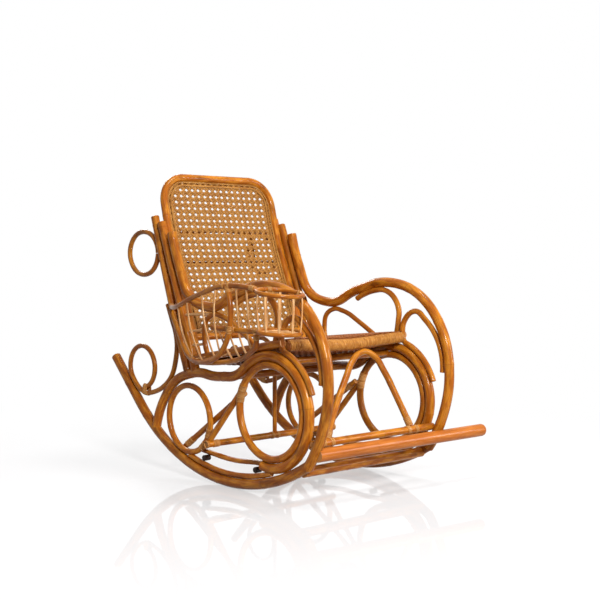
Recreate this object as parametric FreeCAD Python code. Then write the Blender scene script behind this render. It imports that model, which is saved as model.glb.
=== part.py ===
import FreeCAD, Part
import math
import os

# Rattan rocking chair of bent poles, in millimetres, +Z up. The sitter looks along -Y.
# The origin is on the floor, midway between the two points where the runners touch it.
# The right side (the sitter's right, with the basket) is at -X, the left side at +X.

Vector = FreeCAD.Vector
SIDES = {"right": -1, "left": 1}
ALONG_X = Vector(1, 0, 0)
HALF_TURN = 180.0

# Room left between two pieces that touch.
FIT = 0.3

# Side frames: distance between their middle planes.
FRAME_SPACING = 550.0

# Runners: centre-line radius, the angles from the floor contact to the front end and to the
# straight tail, and the tail's length.
RUNNER_RADIUS = 700.0
RUNNER_DIA = 33.0
RUNNER_FRONT_ANGLE = 31.0
RUNNER_REAR_ANGLE = 46.0
RUNNER_TAIL = 210.0
INNER_RUNNER_DIA = 18.0

# Rings that stand on the runners: centre-line radius, pole thickness and place along Y.
BIG_RING_RADIUS = 146.0
BIG_RING_DIA = 24.0
BIG_RING_Y = -188.0
REAR_RING_RADIUS = 111.0
REAR_RING_DIA = 20.0
REAR_RING_Y = 219.0

# Leg rail: it loops round the big ring, then runs back under the seat to its foot on the runner.
RAIL_DIA = 32.0
LOOP_END_ANGLE = 283.0
LOOP_LEAVE_ANGLE = 55.0
RAIL_UNDER_SEAT = [(-30, 365), (60, 352)]
RAIL_FOOT = (406, 148)
# Where it passes over the rear ring: angle about the ring's centre, and gap to the ring.
RAIL_OVER_RING = [(100.6, 21.1), (56.1, 4.5), (19.5, 13.7)]

# Tie bar between the rings, on pegs that lie on the inner runner and stand out of it a little.
TIE_DIA = 17.0
TIE_REAR_Y = 172.0
TIE_MIDDLE = (20.0, 84.0)
TIE_FRONT = (-165.0, 89.0)
PEG_DIA = 19.0
PEG_LENGTH = 26.0
PEG_PROUD = 3.0
PEG_REAR_Y = 141.0
PEG_FRONT_Y = -116.0

# Braces between the rings.
BRACE_DIA = 20.0
SHORT_BRACE = [(-42, 305), (112, 137)]
LONG_BRACE = [(-42, 306), (268, 98)]

# The three poles of the back, each as points (y, z) in its side frame.
UPRIGHT_DIA = 28.0
UPRIGHT_POINTS = [(222, 345), (318, 600), (408, 878)]
BACK_POST_DIA = 30.0
BACK_POST_POINTS = [(181, 352), (273, 606), (323, 734), (370, 857)]
ARM_DIA = 33.0
ARM_POINTS = [(311, 822), (272, 709), (213, 607), (115, 576), (-40, 627), (-150, 652),
              (-317, 610), (-412, 500), (-443, 340), (-415, 215), (-356, 109)]

# Back scroll: down the rear upright, out behind it and round the lower curl.
CURL_DIA = 17.0
CURL_RADIUS = 73.0
CURL_ON_TAIL = 77.0
CURL_CLEAR = 1.0
CURL_ANGLES = [-60, 0, 90, 180, 250]
BACK_SCROLL_POINTS = [(337, 578), (315, 531), (293, 482), (286, 441), (291, 400), (320, 330),
                      (360, 296), (412, 273), (462, 265)]

# Upper loop, an oval that touches the rear upright: its centre, its radii along Y and Z, and the
# angles of the points that it is bent through.
LOOP_DIA = 17.0
UPPER_LOOP_AT = (474.0, 751.0)
UPPER_LOOP_RADII = (83.7, 74.5)
UPPER_LOOP_ANGLES = [179, 135, 90, 45, 0, -45, -90, -135, -179]

# Front scroll, arm hook and arm loop.
SCROLL_DIA = 19.0
SCROLL_POINTS = [(-415, 362), (-403, 446), (-345, 527), (-295, 558), (-250, 528), (-239, 492)]
SCROLL_RING_ANGLES = (110.0, 160.0)
HOOK_DIA = 19.0
HOOK_POINTS = [(-26, 592), (-112, 623), (-150, 626), (-190, 610), (-222, 560), (-219, 515),
               (-208, 462)]
ARM_LOOP_POINTS = [(112, 408), (137, 490), (130, 526), (84, 553), (43, 547), (-50, 504), (-135, 453)]

# Seat: side rails rest on the loops and slope down to the rear rail, whose height is counted from
# the top of the rear rings. The front rail sags a little in the middle.
SIDE_RAIL_DIA = 26.0
SEAT_FRONT_Y = -246.0
FRONT_RAIL_DIA = 37.0
FRONT_RAIL_Z = 459.0
FRONT_RAIL_SAG = 10.0
SEAT_BACK_Y = 198.0
SEAT_BACK_RISE = 80.0
REAR_RAIL_DIA = 26.0
WEAVE_RAISE = 6.0
WEAVE_THICKNESS = 5.0
BEARER_DIA = 20.0

# Bars across the chair: thickness and place (y, z), and how far short of the middle plane of
# the frames they stop where they butt against a pole.
BAR_END_GAP = 7.0
UNDER_SEAT_DIA = 24.0
UNDER_SEAT_AT = (0.0, 357.0)
RING_BAR_DIA = 22.0
RING_BAR_AT = (-175.0, 412.0)
FRONT_STRETCHER_DIA = 24.0
FRONT_STRETCHER_AT = (-374.0, 182.0)
BOTTOM_BAR_DIA = 32.0
BOTTOM_BAR_AT = (-330.0, 92.0)
REAR_STRETCHER_DIA = 22.0
REAR_STRETCHER_ANGLE = 213.0
REAR_STRETCHER_OVERHANG = 14.0
CENTRE_BRACE_DIA = 15.0
CENTRE_BRACE_X = 8.0

# Foot bar: it butts against the right front post and runs out past the left side frame.
FOOT_BAR_DIA = 41.0
FOOT_BAR_RIGHT = (-398.0, 152.0)
FOOT_BAR_FREE_END = (-445.0, 160.0)
FOOT_BAR_REACH = 177.0
FOOT_BAR_ROUND = 13.0

# Front hairpin: points as (x, share of the way up from the front stretcher to the seat rail).
HAIRPIN_DIA = 21.0
HAIRPIN_POINTS = [(-214, 0.0), (-122, 0.42), (-50, 0.70), (5, 0.90), (45, 0.985), (80, 1.0),
                  (112, 0.93), (135, 0.72), (150, 0.45), (170, 0.0)]
HAIRPIN_UNDER_RAIL = 20.0

# Back panel: its foot from the seat rear rail's centre line, the rest of its side profile as
# points (y, z), its corner radius, its own rail above the seat, and the cane.
BACK_FRAME_DIA = 26.0
BACK_FOOT = (1.0, -17.2)
BACK_POINTS = [(297, 643), (360, 808), (392, 923)]
BACK_CORNER = 95.0
PANEL_RAIL_DIA = 24.0
PANEL_RAIL_Z = 469.0
CANE_THICKNESS = 2.4
BOW_DIA = 20.0
BOW_END = (384.0, 795.0)
BOW_CROWN = (392.0, 833.0)
BACK_RAIL_DIA = 18.0
BACK_RAIL_AT = (358.0, 713.0)
STRUT_DIA = 14.0
STRUT_X = 135.0

# Dowel pegs that hold parallel poles side by side, and the heights where they are.
DOWEL_DIA = 8.0
BACK_DOWEL_HEIGHTS = [690, 775]

# Magazine basket on the right side, as points (distance out from the side frame, y, z).
BASKET_RIM_DIA = 16.0
BASKET_RIM = [(17, 292, 574), (77, 190, 576), (111, 30, 620), (123, -117, 652), (125, -262, 645)]
HOOP_DIA = 17.0
BASKET_HOOP = [(124, -128, 652), (126, -138, 503), (115, -90, 448), (87, 52, 405), (55, 154, 420),
               (36, 223, 482), (22, 290, 560)]
FRONT_HOOP_DIA = 16.0
FRONT_HOOP = [(127, -266, 513), (117, -258, 486), (97, -199, 447), (75, -60, 412), (82, 75, 404)]
BASKET_RAIL_DIA = 16.0
BASKET_RAIL = [(111, -40, 521), (111, -262, 517)]
SPOKE_DIA = 7.0
SPOKE_BULGE = 14.0
# Shares of the length of the rim and of the hoop that each spoke joins.
BASKET_SPOKE_SHARES = [(0.25, 0.63), (0.37, 0.52), (0.54, 0.40), (0.67, 0.345)]
RAIL_SPOKE_YS = [-172, -222]
FLOOR_ROD_YS = [-10, 55, 120]

# Round cup basket at the front of the right arm, its middle this far out from the side frame.
CUP_OUT = 78.0
CUP_Y = -317.0
CUP_TOP_Z = 634.0
CUP_TOP_RADIUS = 70.0
CUP_TOP_TILT = 8.0
CUP_LOW_Z = 517.0
CUP_LOW_RADIUS = 64.0
CUP_LOW_TILT = 4.0
CUP_RIM_DIA = 13.0
CUP_SPOKE_DIA = 6.0
CUP_SPOKES = 10
CUP_SPOKE_PHASE = 0.3
CUP_BASE_RODS = 5
CUP_BASE_PITCH = 22.0

# Places that follow from the sizes above.
FRAME_X = FRAME_SPACING / 2
RUNNER_CENTRE_Z = RUNNER_DIA / 2 + RUNNER_RADIUS
RAIL_LOOP_RADIUS = BIG_RING_RADIUS + BIG_RING_DIA / 2 + RAIL_DIA / 2 + FIT
INNER_RUNNER_RADIUS = RUNNER_RADIUS - RUNNER_DIA / 2 - INNER_RUNNER_DIA / 2 - FIT


def height_on_runner(ring_y, outer_radius):
    """Centre height of a round ring that stands on the runner with its centre at ring_y."""
    reach = RUNNER_RADIUS - RUNNER_DIA / 2 - FIT - outer_radius
    return RUNNER_CENTRE_Z - math.sqrt(reach ** 2 - ring_y ** 2)


BIG_RING_Z = height_on_runner(BIG_RING_Y, RAIL_LOOP_RADIUS + RAIL_DIA / 2)
REAR_RING_Z = height_on_runner(REAR_RING_Y, REAR_RING_RADIUS + REAR_RING_DIA / 2)
REAR_STRETCHER_OFFSET = REAR_RING_RADIUS + REAR_RING_DIA / 2 + REAR_STRETCHER_DIA / 2 + FIT


def polar(centre, radius, degrees):
    """Point (y, z) at an angle about a centre (y, z), counted from +Y towards +Z."""
    angle = math.radians(degrees)
    return (centre[0] + radius * math.cos(angle), centre[1] + radius * math.sin(angle))


def in_frame(side, point, inset=0.0):
    """Point (y, z) of a side frame as a 3-D point; inset moves it towards the middle of the chair."""
    return Vector(side * (FRAME_X - inset), point[0], point[1])


def unit(vector):
    """Copy of a vector with a length of one."""
    return Vector(vector).normalize()


def arc_edge(start, tangent, end):
    """Arc that leaves start along the tangent and ends at end, or a line where it would be straight."""
    chord = end - start
    along = unit(chord)
    across = tangent - along * tangent.dot(along)
    if across.Length < 1e-6:
        return Part.LineSegment(start, end).toShape()
    half = math.atan2(across.Length, tangent.dot(along)) / 2
    middle = (start + end) * 0.5 + unit(across) * (chord.Length / 2 * math.tan(half))
    return Part.Arc(start, middle, end).toShape()


def arc_pair(start, leaving, end, arriving):
    """Two arcs, tangent to each other, that join two points with a given direction at each."""
    chord = end - start
    spread = 2 * (1 - leaving.dot(arriving))
    along = chord.dot(leaving + arriving)
    if spread < 1e-9:
        reach = chord.dot(chord) / (2 * along)
    else:
        reach = (math.sqrt(along ** 2 + spread * chord.dot(chord)) - along) / spread
    first = start + leaving * reach
    second = end - arriving * reach
    joint = (first + second) * 0.5
    return [arc_edge(start, leaving, joint), arc_edge(joint, unit(second - first), end)]


def bend(points, leaving=None, arriving=None):
    """Smooth path of tangent arcs through points, as a bent pole takes; the ends may be given directions."""
    directions = [None] * len(points)
    for index in range(1, len(points) - 1):
        before = points[index] - points[index - 1]
        after = points[index + 1] - points[index]
        directions[index] = unit(before * (1 / before.dot(before)) + after * (1 / after.dot(after)))
    first = unit(points[1] - points[0])
    last = unit(points[-1] - points[-2])
    if len(points) == 2:
        return [Part.LineSegment(points[0], points[1]).toShape()]
    directions[0] = leaving or first * (2 * first.dot(directions[1])) - directions[1]
    directions[-1] = arriving or last * (2 * last.dot(directions[-2])) - directions[-2]
    path = []
    for index in range(len(points) - 1):
        path += arc_pair(points[index], directions[index], points[index + 1], directions[index + 1])
    return path


def pole(path, diameter):
    """Round pole swept along a path of edges."""
    start = path[0]
    origin = start.valueAt(start.FirstParameter)
    outline = Part.makeCircle(diameter / 2, origin, start.tangentAt(start.FirstParameter))
    return Part.Wire(path).makePipeShell([Part.Wire([outline])], True, True)


def room(path, diameter):
    """The space that a pole takes up with the fit around it, for coping what meets it."""
    return pole(path, diameter + 2 * FIT)


def coped(solid, *rooms):
    """Solid cut to fit against its neighbours; only its main piece is kept."""
    for space in rooms:
        solid = solid.cut(space)
    return max(solid.Solids, key=lambda piece: piece.Volume)


def ring(side, y, z, radius, diameter):
    """Closed ring in a side frame."""
    return Part.makeTorus(radius, diameter / 2, in_frame(side, (y, z)), ALONG_X)


def cross_path(place, end_x):
    """Straight path along X at a place (y, z), as far to both sides."""
    return [Part.LineSegment(Vector(-end_x, *place), Vector(end_x, *place)).toShape()]


def point_at_height(path, z):
    """Foremost point of a path at a height, found along its length."""
    points = Part.Wire(path).discretize(Distance=1.0)
    level = [point for point in points if abs(point.z - z) < 1.0]
    return min(level, key=lambda point: point.y)


def point_along(path, share):
    """Point at a share of a path's length."""
    return Part.Wire(path).discretize(Number=201)[round(200 * share)]


# Paths of the poles of a side frame.

def runner_angle_point(degrees, radius):
    """Point (y, z) on a circle about the rocking centre, at an angle from straight down to the rear."""
    return polar((0.0, RUNNER_CENTRE_Z), radius, degrees - 90.0)


def tail_directions():
    """Direction of the runner's straight tail, and the direction square to it, upwards."""
    angle = math.radians(RUNNER_REAR_ANGLE)
    return (math.cos(angle), math.sin(angle)), (-math.sin(angle), math.cos(angle))


def runner_path(side):
    """Rocking arc and straight tail."""
    front = in_frame(side, runner_angle_point(-RUNNER_FRONT_ANGLE, RUNNER_RADIUS))
    low = in_frame(side, runner_angle_point(0.0, RUNNER_RADIUS))
    corner = in_frame(side, runner_angle_point(RUNNER_REAR_ANGLE, RUNNER_RADIUS))
    along = Vector(0, *tail_directions()[0])
    tail = Part.LineSegment(corner, corner + along * RUNNER_TAIL).toShape()
    return [Part.Arc(front, low, corner).toShape(), tail]


def angle_beside_ring(ring_y, ring_z, outer_radius):
    """Angle between a ring's centre and where the inner runner's centre line meets the ring's outside."""
    reach = math.hypot(ring_y, RUNNER_CENTRE_Z - ring_z)
    apart = outer_radius + INNER_RUNNER_DIA / 2 + FIT
    cosine = (reach ** 2 + INNER_RUNNER_RADIUS ** 2 - apart ** 2) / (2 * reach * INNER_RUNNER_RADIUS)
    bearing = math.degrees(math.atan2(ring_y, RUNNER_CENTRE_Z - ring_z))
    return bearing, math.degrees(math.acos(cosine))


def inner_runner_path(side):
    """Arc on top of the runner, from the loop of the leg rail to the rear ring."""
    loop_outside = RAIL_LOOP_RADIUS + RAIL_DIA / 2
    front, front_room = angle_beside_ring(BIG_RING_Y, BIG_RING_Z, loop_outside)
    rear, rear_room = angle_beside_ring(REAR_RING_Y, REAR_RING_Z, REAR_RING_RADIUS + REAR_RING_DIA / 2)
    ends = (front + front_room, rear - rear_room)
    angles = (ends[0], sum(ends) / 2, ends[1])
    points = [in_frame(side, runner_angle_point(angle, INNER_RUNNER_RADIUS)) for angle in angles]
    return [Part.Arc(*points).toShape()]


def leg_rail_path(side):
    """Loop round the big ring, then back under the seat and down to the runner."""
    centre = (BIG_RING_Y, BIG_RING_Z)
    middle = (LOOP_END_ANGLE + LOOP_LEAVE_ANGLE) / 2
    angles = (LOOP_END_ANGLE, middle, LOOP_LEAVE_ANGLE)
    loop = [in_frame(side, polar(centre, RAIL_LOOP_RADIUS, angle)) for angle in angles]
    leaving = Vector(0, *polar((0, 0), 1.0, LOOP_LEAVE_ANGLE - 90.0))
    on_ring = REAR_RING_RADIUS + REAR_RING_DIA / 2 + RAIL_DIA / 2
    over_ring = [polar((REAR_RING_Y, REAR_RING_Z), on_ring + gap, angle) for angle, gap in RAIL_OVER_RING]
    points = RAIL_UNDER_SEAT + over_ring + [RAIL_FOOT]
    path = [loop[2]] + [in_frame(side, point) for point in points]
    return [Part.Arc(*loop).toShape()] + bend(path, leaving=leaving)


def inner_runner_top(y):
    """Height of the inner runner's upper surface at a place along Y."""
    top_radius = INNER_RUNNER_RADIUS - INNER_RUNNER_DIA / 2
    return RUNNER_CENTRE_Z - math.sqrt(top_radius ** 2 - y ** 2)


def tie_path(side):
    """Tie bar against the inner faces of the rings, over the two spacer pegs."""
    over_peg = PEG_DIA + TIE_DIA / 2 + 2 * FIT
    rear_inset = REAR_RING_DIA / 2 + TIE_DIA / 2 + FIT
    front_inset = RAIL_DIA / 2 + TIE_DIA / 2 + FIT
    beside = math.sqrt(REAR_RING_RADIUS ** 2 - (REAR_RING_Y - TIE_REAR_Y) ** 2)
    middle_inset = (rear_inset + front_inset) / 2
    return bend([in_frame(side, (TIE_REAR_Y, REAR_RING_Z - beside), rear_inset),
                 in_frame(side, (PEG_REAR_Y, inner_runner_top(PEG_REAR_Y) + over_peg), rear_inset),
                 in_frame(side, TIE_MIDDLE, middle_inset),
                 in_frame(side, (PEG_FRONT_Y, inner_runner_top(PEG_FRONT_Y) + over_peg), front_inset),
                 in_frame(side, TIE_FRONT, front_inset)])


def back_scroll_path(side):
    """S down from the rear upright into the curl, which rests on the runner's tail."""
    along, square = tail_directions()
    corner = runner_angle_point(RUNNER_REAR_ANGLE, RUNNER_RADIUS)
    off = CURL_RADIUS + CURL_DIA / 2 + RUNNER_DIA / 2 + CURL_CLEAR
    centre = (corner[0] + along[0] * CURL_ON_TAIL + square[0] * off,
              corner[1] + along[1] * CURL_ON_TAIL + square[1] * off)
    curl = [polar(centre, CURL_RADIUS, angle) for angle in CURL_ANGLES]
    return bend([in_frame(side, point) for point in BACK_SCROLL_POINTS + curl])


def front_scroll_path(side):
    """S from the front post over the seat corner, then along the outside of the leg rail's loop."""
    centre = (BIG_RING_Y, BIG_RING_Z)
    radius = RAIL_LOOP_RADIUS + RAIL_DIA / 2 + SCROLL_DIA / 2 + FIT
    start, end = SCROLL_RING_ANGLES
    on_ring = [in_frame(side, polar(centre, radius, angle)) for angle in (start, (start + end) / 2, end)]
    arriving = Vector(0, *polar((0, 0), 1.0, start + 90.0))
    points = [in_frame(side, point) for point in SCROLL_POINTS] + [on_ring[0]]
    return bend(points, arriving=arriving) + [Part.Arc(*on_ring).toShape()]


def seat_height(y):
    """Height of the side rails' centre line: they rest on the loops and slope down to the rear."""
    back_z = REAR_RING_Z + REAR_RING_RADIUS + REAR_RING_DIA / 2 + SEAT_BACK_RISE
    run = SEAT_BACK_Y - BIG_RING_Y
    rise = back_z - BIG_RING_Z
    apart = RAIL_LOOP_RADIUS + RAIL_DIA / 2 + SIDE_RAIL_DIA / 2 + FIT
    slope = math.asin(apart / math.hypot(run, rise)) - math.atan2(rise, run)
    return back_z + (SEAT_BACK_Y - y) * math.tan(slope)


def side_rail_path(side):
    """Seat side rail from the front scroll to the back post."""
    ends = [in_frame(side, (y, seat_height(y))) for y in (SEAT_FRONT_Y, SEAT_BACK_Y)]
    return [Part.LineSegment(*ends).toShape()]


def upper_loop_path(side):
    """Oval loop behind the rear upright, bent round from the upright and back to it."""
    points = []
    for degrees in UPPER_LOOP_ANGLES:
        angle = math.radians(degrees)
        points.append(in_frame(side, (UPPER_LOOP_AT[0] + UPPER_LOOP_RADII[0] * math.cos(angle),
                                      UPPER_LOOP_AT[1] + UPPER_LOOP_RADII[1] * math.sin(angle))))
    return bend(points)


def frame_bend(side, points):
    """Bent pole path in the middle plane of a side frame."""
    return bend([in_frame(side, point) for point in points])


def long_brace_path(side):
    """Brace along the inner faces of both rings."""
    front_inset = BIG_RING_DIA / 2 + BRACE_DIA / 2 + FIT
    rear_inset = REAR_RING_DIA / 2 + BRACE_DIA / 2 + FIT
    return bend([in_frame(side, LONG_BRACE[0], front_inset), in_frame(side, LONG_BRACE[1], rear_inset)])


REAR_STRETCHER_AT = polar((REAR_RING_Y, REAR_RING_Z), REAR_STRETCHER_OFFSET, REAR_STRETCHER_ANGLE)
REAR_STRETCHER = cross_path(REAR_STRETCHER_AT, FRAME_X + REAR_STRETCHER_OVERHANG)


def side_frame(side):
    """Poles of one side frame, each coped to what it meets."""
    runner = runner_path(side)
    rail = leg_rail_path(side)
    arm = frame_bend(side, ARM_POINTS)
    upright = frame_bend(side, UPRIGHT_POINTS)
    post = frame_bend(side, BACK_POST_POINTS)
    scroll = front_scroll_path(side)
    seat_rail = side_rail_path(side)
    rings = [ring(side, BIG_RING_Y, BIG_RING_Z, BIG_RING_RADIUS, BIG_RING_DIA),
             ring(side, REAR_RING_Y, REAR_RING_Z, REAR_RING_RADIUS, REAR_RING_DIA)]
    ring_rooms = [ring(side, BIG_RING_Y, BIG_RING_Z, BIG_RING_RADIUS, BIG_RING_DIA + 2 * FIT),
                  ring(side, REAR_RING_Y, REAR_RING_Z, REAR_RING_RADIUS, REAR_RING_DIA + 2 * FIT)]
    arm_room = room(arm, ARM_DIA)
    runner_room = room(runner, RUNNER_DIA)
    rail_room = room(rail, RAIL_DIA)
    upright_room = room(upright, UPRIGHT_DIA)
    seat_rail_room = room(seat_rail, SIDE_RAIL_DIA)
    return {
        "runner": pole(runner, RUNNER_DIA),
        "inner_runner": pole(inner_runner_path(side), INNER_RUNNER_DIA),
        "leg_rail": coped(pole(rail, RAIL_DIA), runner_room),
        "big_ring": rings[0],
        "rear_ring": rings[1],
        "tie_bar": pole(tie_path(side), TIE_DIA),
        "rear_upright": coped(pole(upright, UPRIGHT_DIA), rail_room),
        "back_scroll": coped(pole(back_scroll_path(side), CURL_DIA), upright_room, rail_room),
        "upper_loop": coped(pole(upper_loop_path(side), LOOP_DIA), upright_room),
        "back_post": coped(pole(post, BACK_POST_DIA), rail_room),
        "arm_pole": coped(pole(arm, ARM_DIA), runner_room),
        "front_scroll": coped(pole(scroll, SCROLL_DIA), arm_room),
        "arm_hook": coped(pole(frame_bend(side, HOOK_POINTS), HOOK_DIA), arm_room, seat_rail_room),
        "arm_loop": coped(pole(frame_bend(side, ARM_LOOP_POINTS), LOOP_DIA), arm_room, seat_rail_room),
        "seat_side_rail": coped(pole(seat_rail, SIDE_RAIL_DIA), room(scroll, SCROLL_DIA),
                                room(post, BACK_POST_DIA)),
        "short_brace": coped(pole(frame_bend(side, SHORT_BRACE), BRACE_DIA), *ring_rooms,
                             room(REAR_STRETCHER, REAR_STRETCHER_DIA)),
        "long_brace": pole(long_brace_path(side), BRACE_DIA),
    }


def spacer_pegs():
    """Dark pegs between the inner runners and the tie bars."""
    pegs = []
    for side in SIDES.values():
        for y in (PEG_REAR_Y, PEG_FRONT_Y):
            centre_z = inner_runner_top(y) + PEG_DIA / 2 + FIT
            outer = in_frame(side, (y, centre_z), -PEG_PROUD)
            pegs.append(Part.makeCylinder(PEG_DIA / 2, PEG_LENGTH, outer, ALONG_X * -side))
    return Part.makeCompound(pegs)


def dowel(first, first_dia, second, second_dia, z):
    """Peg between two poles that run side by side, at a height."""
    start = point_at_height(first, z)
    near = Part.Wire(second).discretize(Distance=1.0)
    end = min(near, key=lambda point: (point - start).Length)
    peg = Part.makeCylinder(DOWEL_DIA / 2, (end - start).Length, start, end - start)
    return coped(peg, room(first, first_dia), room(second, second_dia))


def dowel_pegs():
    """Pegs that hold the three poles of each side of the back."""
    pegs = []
    for side in SIDES.values():
        arm = frame_bend(side, ARM_POINTS)
        post = frame_bend(side, BACK_POST_POINTS)
        upright = frame_bend(side, UPRIGHT_POINTS)
        for z in BACK_DOWEL_HEIGHTS:
            pegs.append(dowel(post, BACK_POST_DIA, arm, ARM_DIA, z))
            pegs.append(dowel(post, BACK_POST_DIA, upright, UPRIGHT_DIA, z))
    return Part.makeCompound(pegs)


def both_sides(make_path, diameter):
    """Rooms of one kind of pole in both side frames."""
    return [room(make_path(side), diameter) for side in SIDES.values()]


def frame_rooms(points, diameter):
    """Rooms of one bent pole, given as points (y, z), in both side frames."""
    return [room(frame_bend(side, points), diameter) for side in SIDES.values()]


def cross_bar(place, diameter, *rooms):
    """Bar across the chair, coped to what it meets in each side frame."""
    return coped(pole(cross_path(place, FRAME_X - BAR_END_GAP), diameter), *rooms)


def front_rail_path():
    """Seat front rail from one side rail to the other, a little lower in the middle."""
    end_x = FRAME_X - SIDE_RAIL_DIA / 2 - FIT
    end_z = FRONT_RAIL_Z + FRONT_RAIL_SAG
    points = [Vector(-end_x, SEAT_FRONT_Y, end_z), Vector(0, SEAT_FRONT_Y, FRONT_RAIL_Z),
              Vector(end_x, SEAT_FRONT_Y, end_z)]
    return bend(points, leaving=ALONG_X, arriving=ALONG_X)


def hairpin_path():
    """Hairpin from the front stretcher up under the seat front rail, in a slanting plane."""
    under = FRONT_RAIL_DIA / 2 + HAIRPIN_DIA / 2 + FIT
    angle = math.radians(HAIRPIN_UNDER_RAIL)
    crown = (SEAT_FRONT_Y - under * math.sin(angle), FRONT_RAIL_Z - under * math.cos(angle))
    foot = FRONT_STRETCHER_AT
    return bend([Vector(x, foot[0] + (crown[0] - foot[0]) * share, foot[1] + (crown[1] - foot[1]) * share)
                 for x, share in HAIRPIN_POINTS])


def foot_bar():
    """Round bar with one end against the right front post and a rounded free end on the left."""
    start = in_frame(SIDES["right"], FOOT_BAR_RIGHT)
    end = in_frame(SIDES["left"], FOOT_BAR_FREE_END, -FOOT_BAR_REACH)
    bar = pole([Part.LineSegment(start, end).toShape()], FOOT_BAR_DIA)
    free_end = [edge for edge in bar.Edges if edge.CenterOfMass.x > FRAME_X and edge.Closed]
    bar = bar.makeFillet(FOOT_BAR_ROUND, free_end)
    return coped(bar, *frame_rooms(ARM_POINTS, ARM_DIA))


def seat_weave(front_rail, rear_rail):
    """Woven seat between the four seat rails, as a thin sloping plate."""
    ends = (SEAT_FRONT_Y + FRONT_RAIL_DIA / 4, SEAT_BACK_Y - REAR_RAIL_DIA / 4)
    corners = [(y, seat_height(y) + WEAVE_RAISE) for y in ends]
    low = WEAVE_THICKNESS / 2
    outline = [Vector(-FRAME_X, corners[0][0], corners[0][1] - low),
               Vector(-FRAME_X, corners[1][0], corners[1][1] - low),
               Vector(-FRAME_X, corners[1][0], corners[1][1] + low),
               Vector(-FRAME_X, corners[0][0], corners[0][1] + low)]
    plate = Part.Face(Part.makePolygon(outline + outline[:1])).extrude(Vector(FRAME_SPACING, 0, 0))
    return coped(plate, front_rail, rear_rail, *both_sides(side_rail_path, SIDE_RAIL_DIA))


def seat_parts():
    """Seat rails, woven seat, and the bearer and brace under it."""
    front = front_rail_path()
    rear_at = (SEAT_BACK_Y, seat_height(SEAT_BACK_Y))
    rear = cross_path(rear_at, FRAME_X)
    bearer_y = REAR_STRETCHER_AT[0]
    bearer_z = seat_height(bearer_y) + WEAVE_RAISE - WEAVE_THICKNESS / 2 - BEARER_DIA / 2 - 2 * FIT
    bearer_at = (bearer_y, bearer_z)
    bearer = cross_path(bearer_at, FRAME_X)
    brace = bend([Vector(CENTRE_BRACE_X, *REAR_STRETCHER_AT), Vector(CENTRE_BRACE_X, *bearer_at)])
    posts = frame_rooms(BACK_POST_POINTS, BACK_POST_DIA)
    side_rails = both_sides(side_rail_path, SIDE_RAIL_DIA)
    return {
        "seat_front_rail": pole(front, FRONT_RAIL_DIA),
        "seat_rear_rail": cross_bar(rear_at, REAR_RAIL_DIA, *posts, *side_rails),
        "seat_weave": seat_weave(room(front, FRONT_RAIL_DIA), room(rear, REAR_RAIL_DIA)),
        "seat_bearer": cross_bar(bearer_at, BEARER_DIA, *side_rails),
        "centre_brace": coped(pole(brace, CENTRE_BRACE_DIA), room(REAR_STRETCHER, REAR_STRETCHER_DIA),
                              room(bearer, BEARER_DIA)),
        "front_hairpin": coped(pole(hairpin_path(), HAIRPIN_DIA), room(front, FRONT_RAIL_DIA),
                               room(cross_path(FRONT_STRETCHER_AT, FRAME_X), FRONT_STRETCHER_DIA)),
    }


def cross_parts():
    """Bars that join the two side frames below the seat."""
    rails = both_sides(leg_rail_path, RAIL_DIA)
    runners = both_sides(runner_path, RUNNER_DIA)
    arms = frame_rooms(ARM_POINTS, ARM_DIA)
    rings = [ring(side, BIG_RING_Y, BIG_RING_Z, BIG_RING_RADIUS, BIG_RING_DIA + 2 * FIT)
             for side in SIDES.values()]
    return {
        "under_seat_bar": cross_bar(UNDER_SEAT_AT, UNDER_SEAT_DIA, *rails),
        "ring_bar": cross_bar(RING_BAR_AT, RING_BAR_DIA, *rails, *rings),
        "front_stretcher": coped(pole(cross_path(FRONT_STRETCHER_AT, FRAME_X), FRONT_STRETCHER_DIA),
                                 *rails, *arms),
        "bottom_crossbar": cross_bar(BOTTOM_BAR_AT, BOTTOM_BAR_DIA, *runners, *arms),
        "rear_stretcher": pole(REAR_STRETCHER, REAR_STRETCHER_DIA),
        "foot_bar": foot_bar(),
    }


BACK_PROFILE = [(SEAT_BACK_Y + BACK_FOOT[0], seat_height(SEAT_BACK_Y) + BACK_FOOT[1])] + BACK_POINTS


def back_profile():
    """Side profile of the back panel as a path in the plane x = 0, and its direction at the top."""
    path = bend([Vector(0, *point) for point in BACK_PROFILE])
    last = path[-1]
    return path, last.tangentAt(last.LastParameter)


def back_frame_path(half_width):
    """Sides up the profile, round corners and a straight top."""
    up = back_profile()[1]
    path = bend([Vector(-half_width, *point) for point in BACK_PROFILE])
    top = Vector(0, *BACK_PROFILE[-1]) + up * BACK_CORNER
    turn = math.cos(math.radians(45.0)) * BACK_CORNER
    ends = []
    for sign in (-1, 1):
        side_end = Vector(sign * half_width, *BACK_PROFILE[-1])
        centre = side_end - ALONG_X * (sign * BACK_CORNER)
        middle = centre + ALONG_X * (sign * turn) + up * turn
        top_end = Vector(centre.x, top.y, top.z)
        ends.append((side_end, middle, top_end))
    path.append(Part.Arc(*ends[0]).toShape())
    path.append(Part.LineSegment(ends[0][2], ends[1][2]).toShape())
    path.append(Part.Arc(ends[1][2], ends[1][1], ends[1][0]).toShape())
    down = bend([Vector(half_width, *point) for point in reversed(BACK_PROFILE)])
    return path + down


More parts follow.
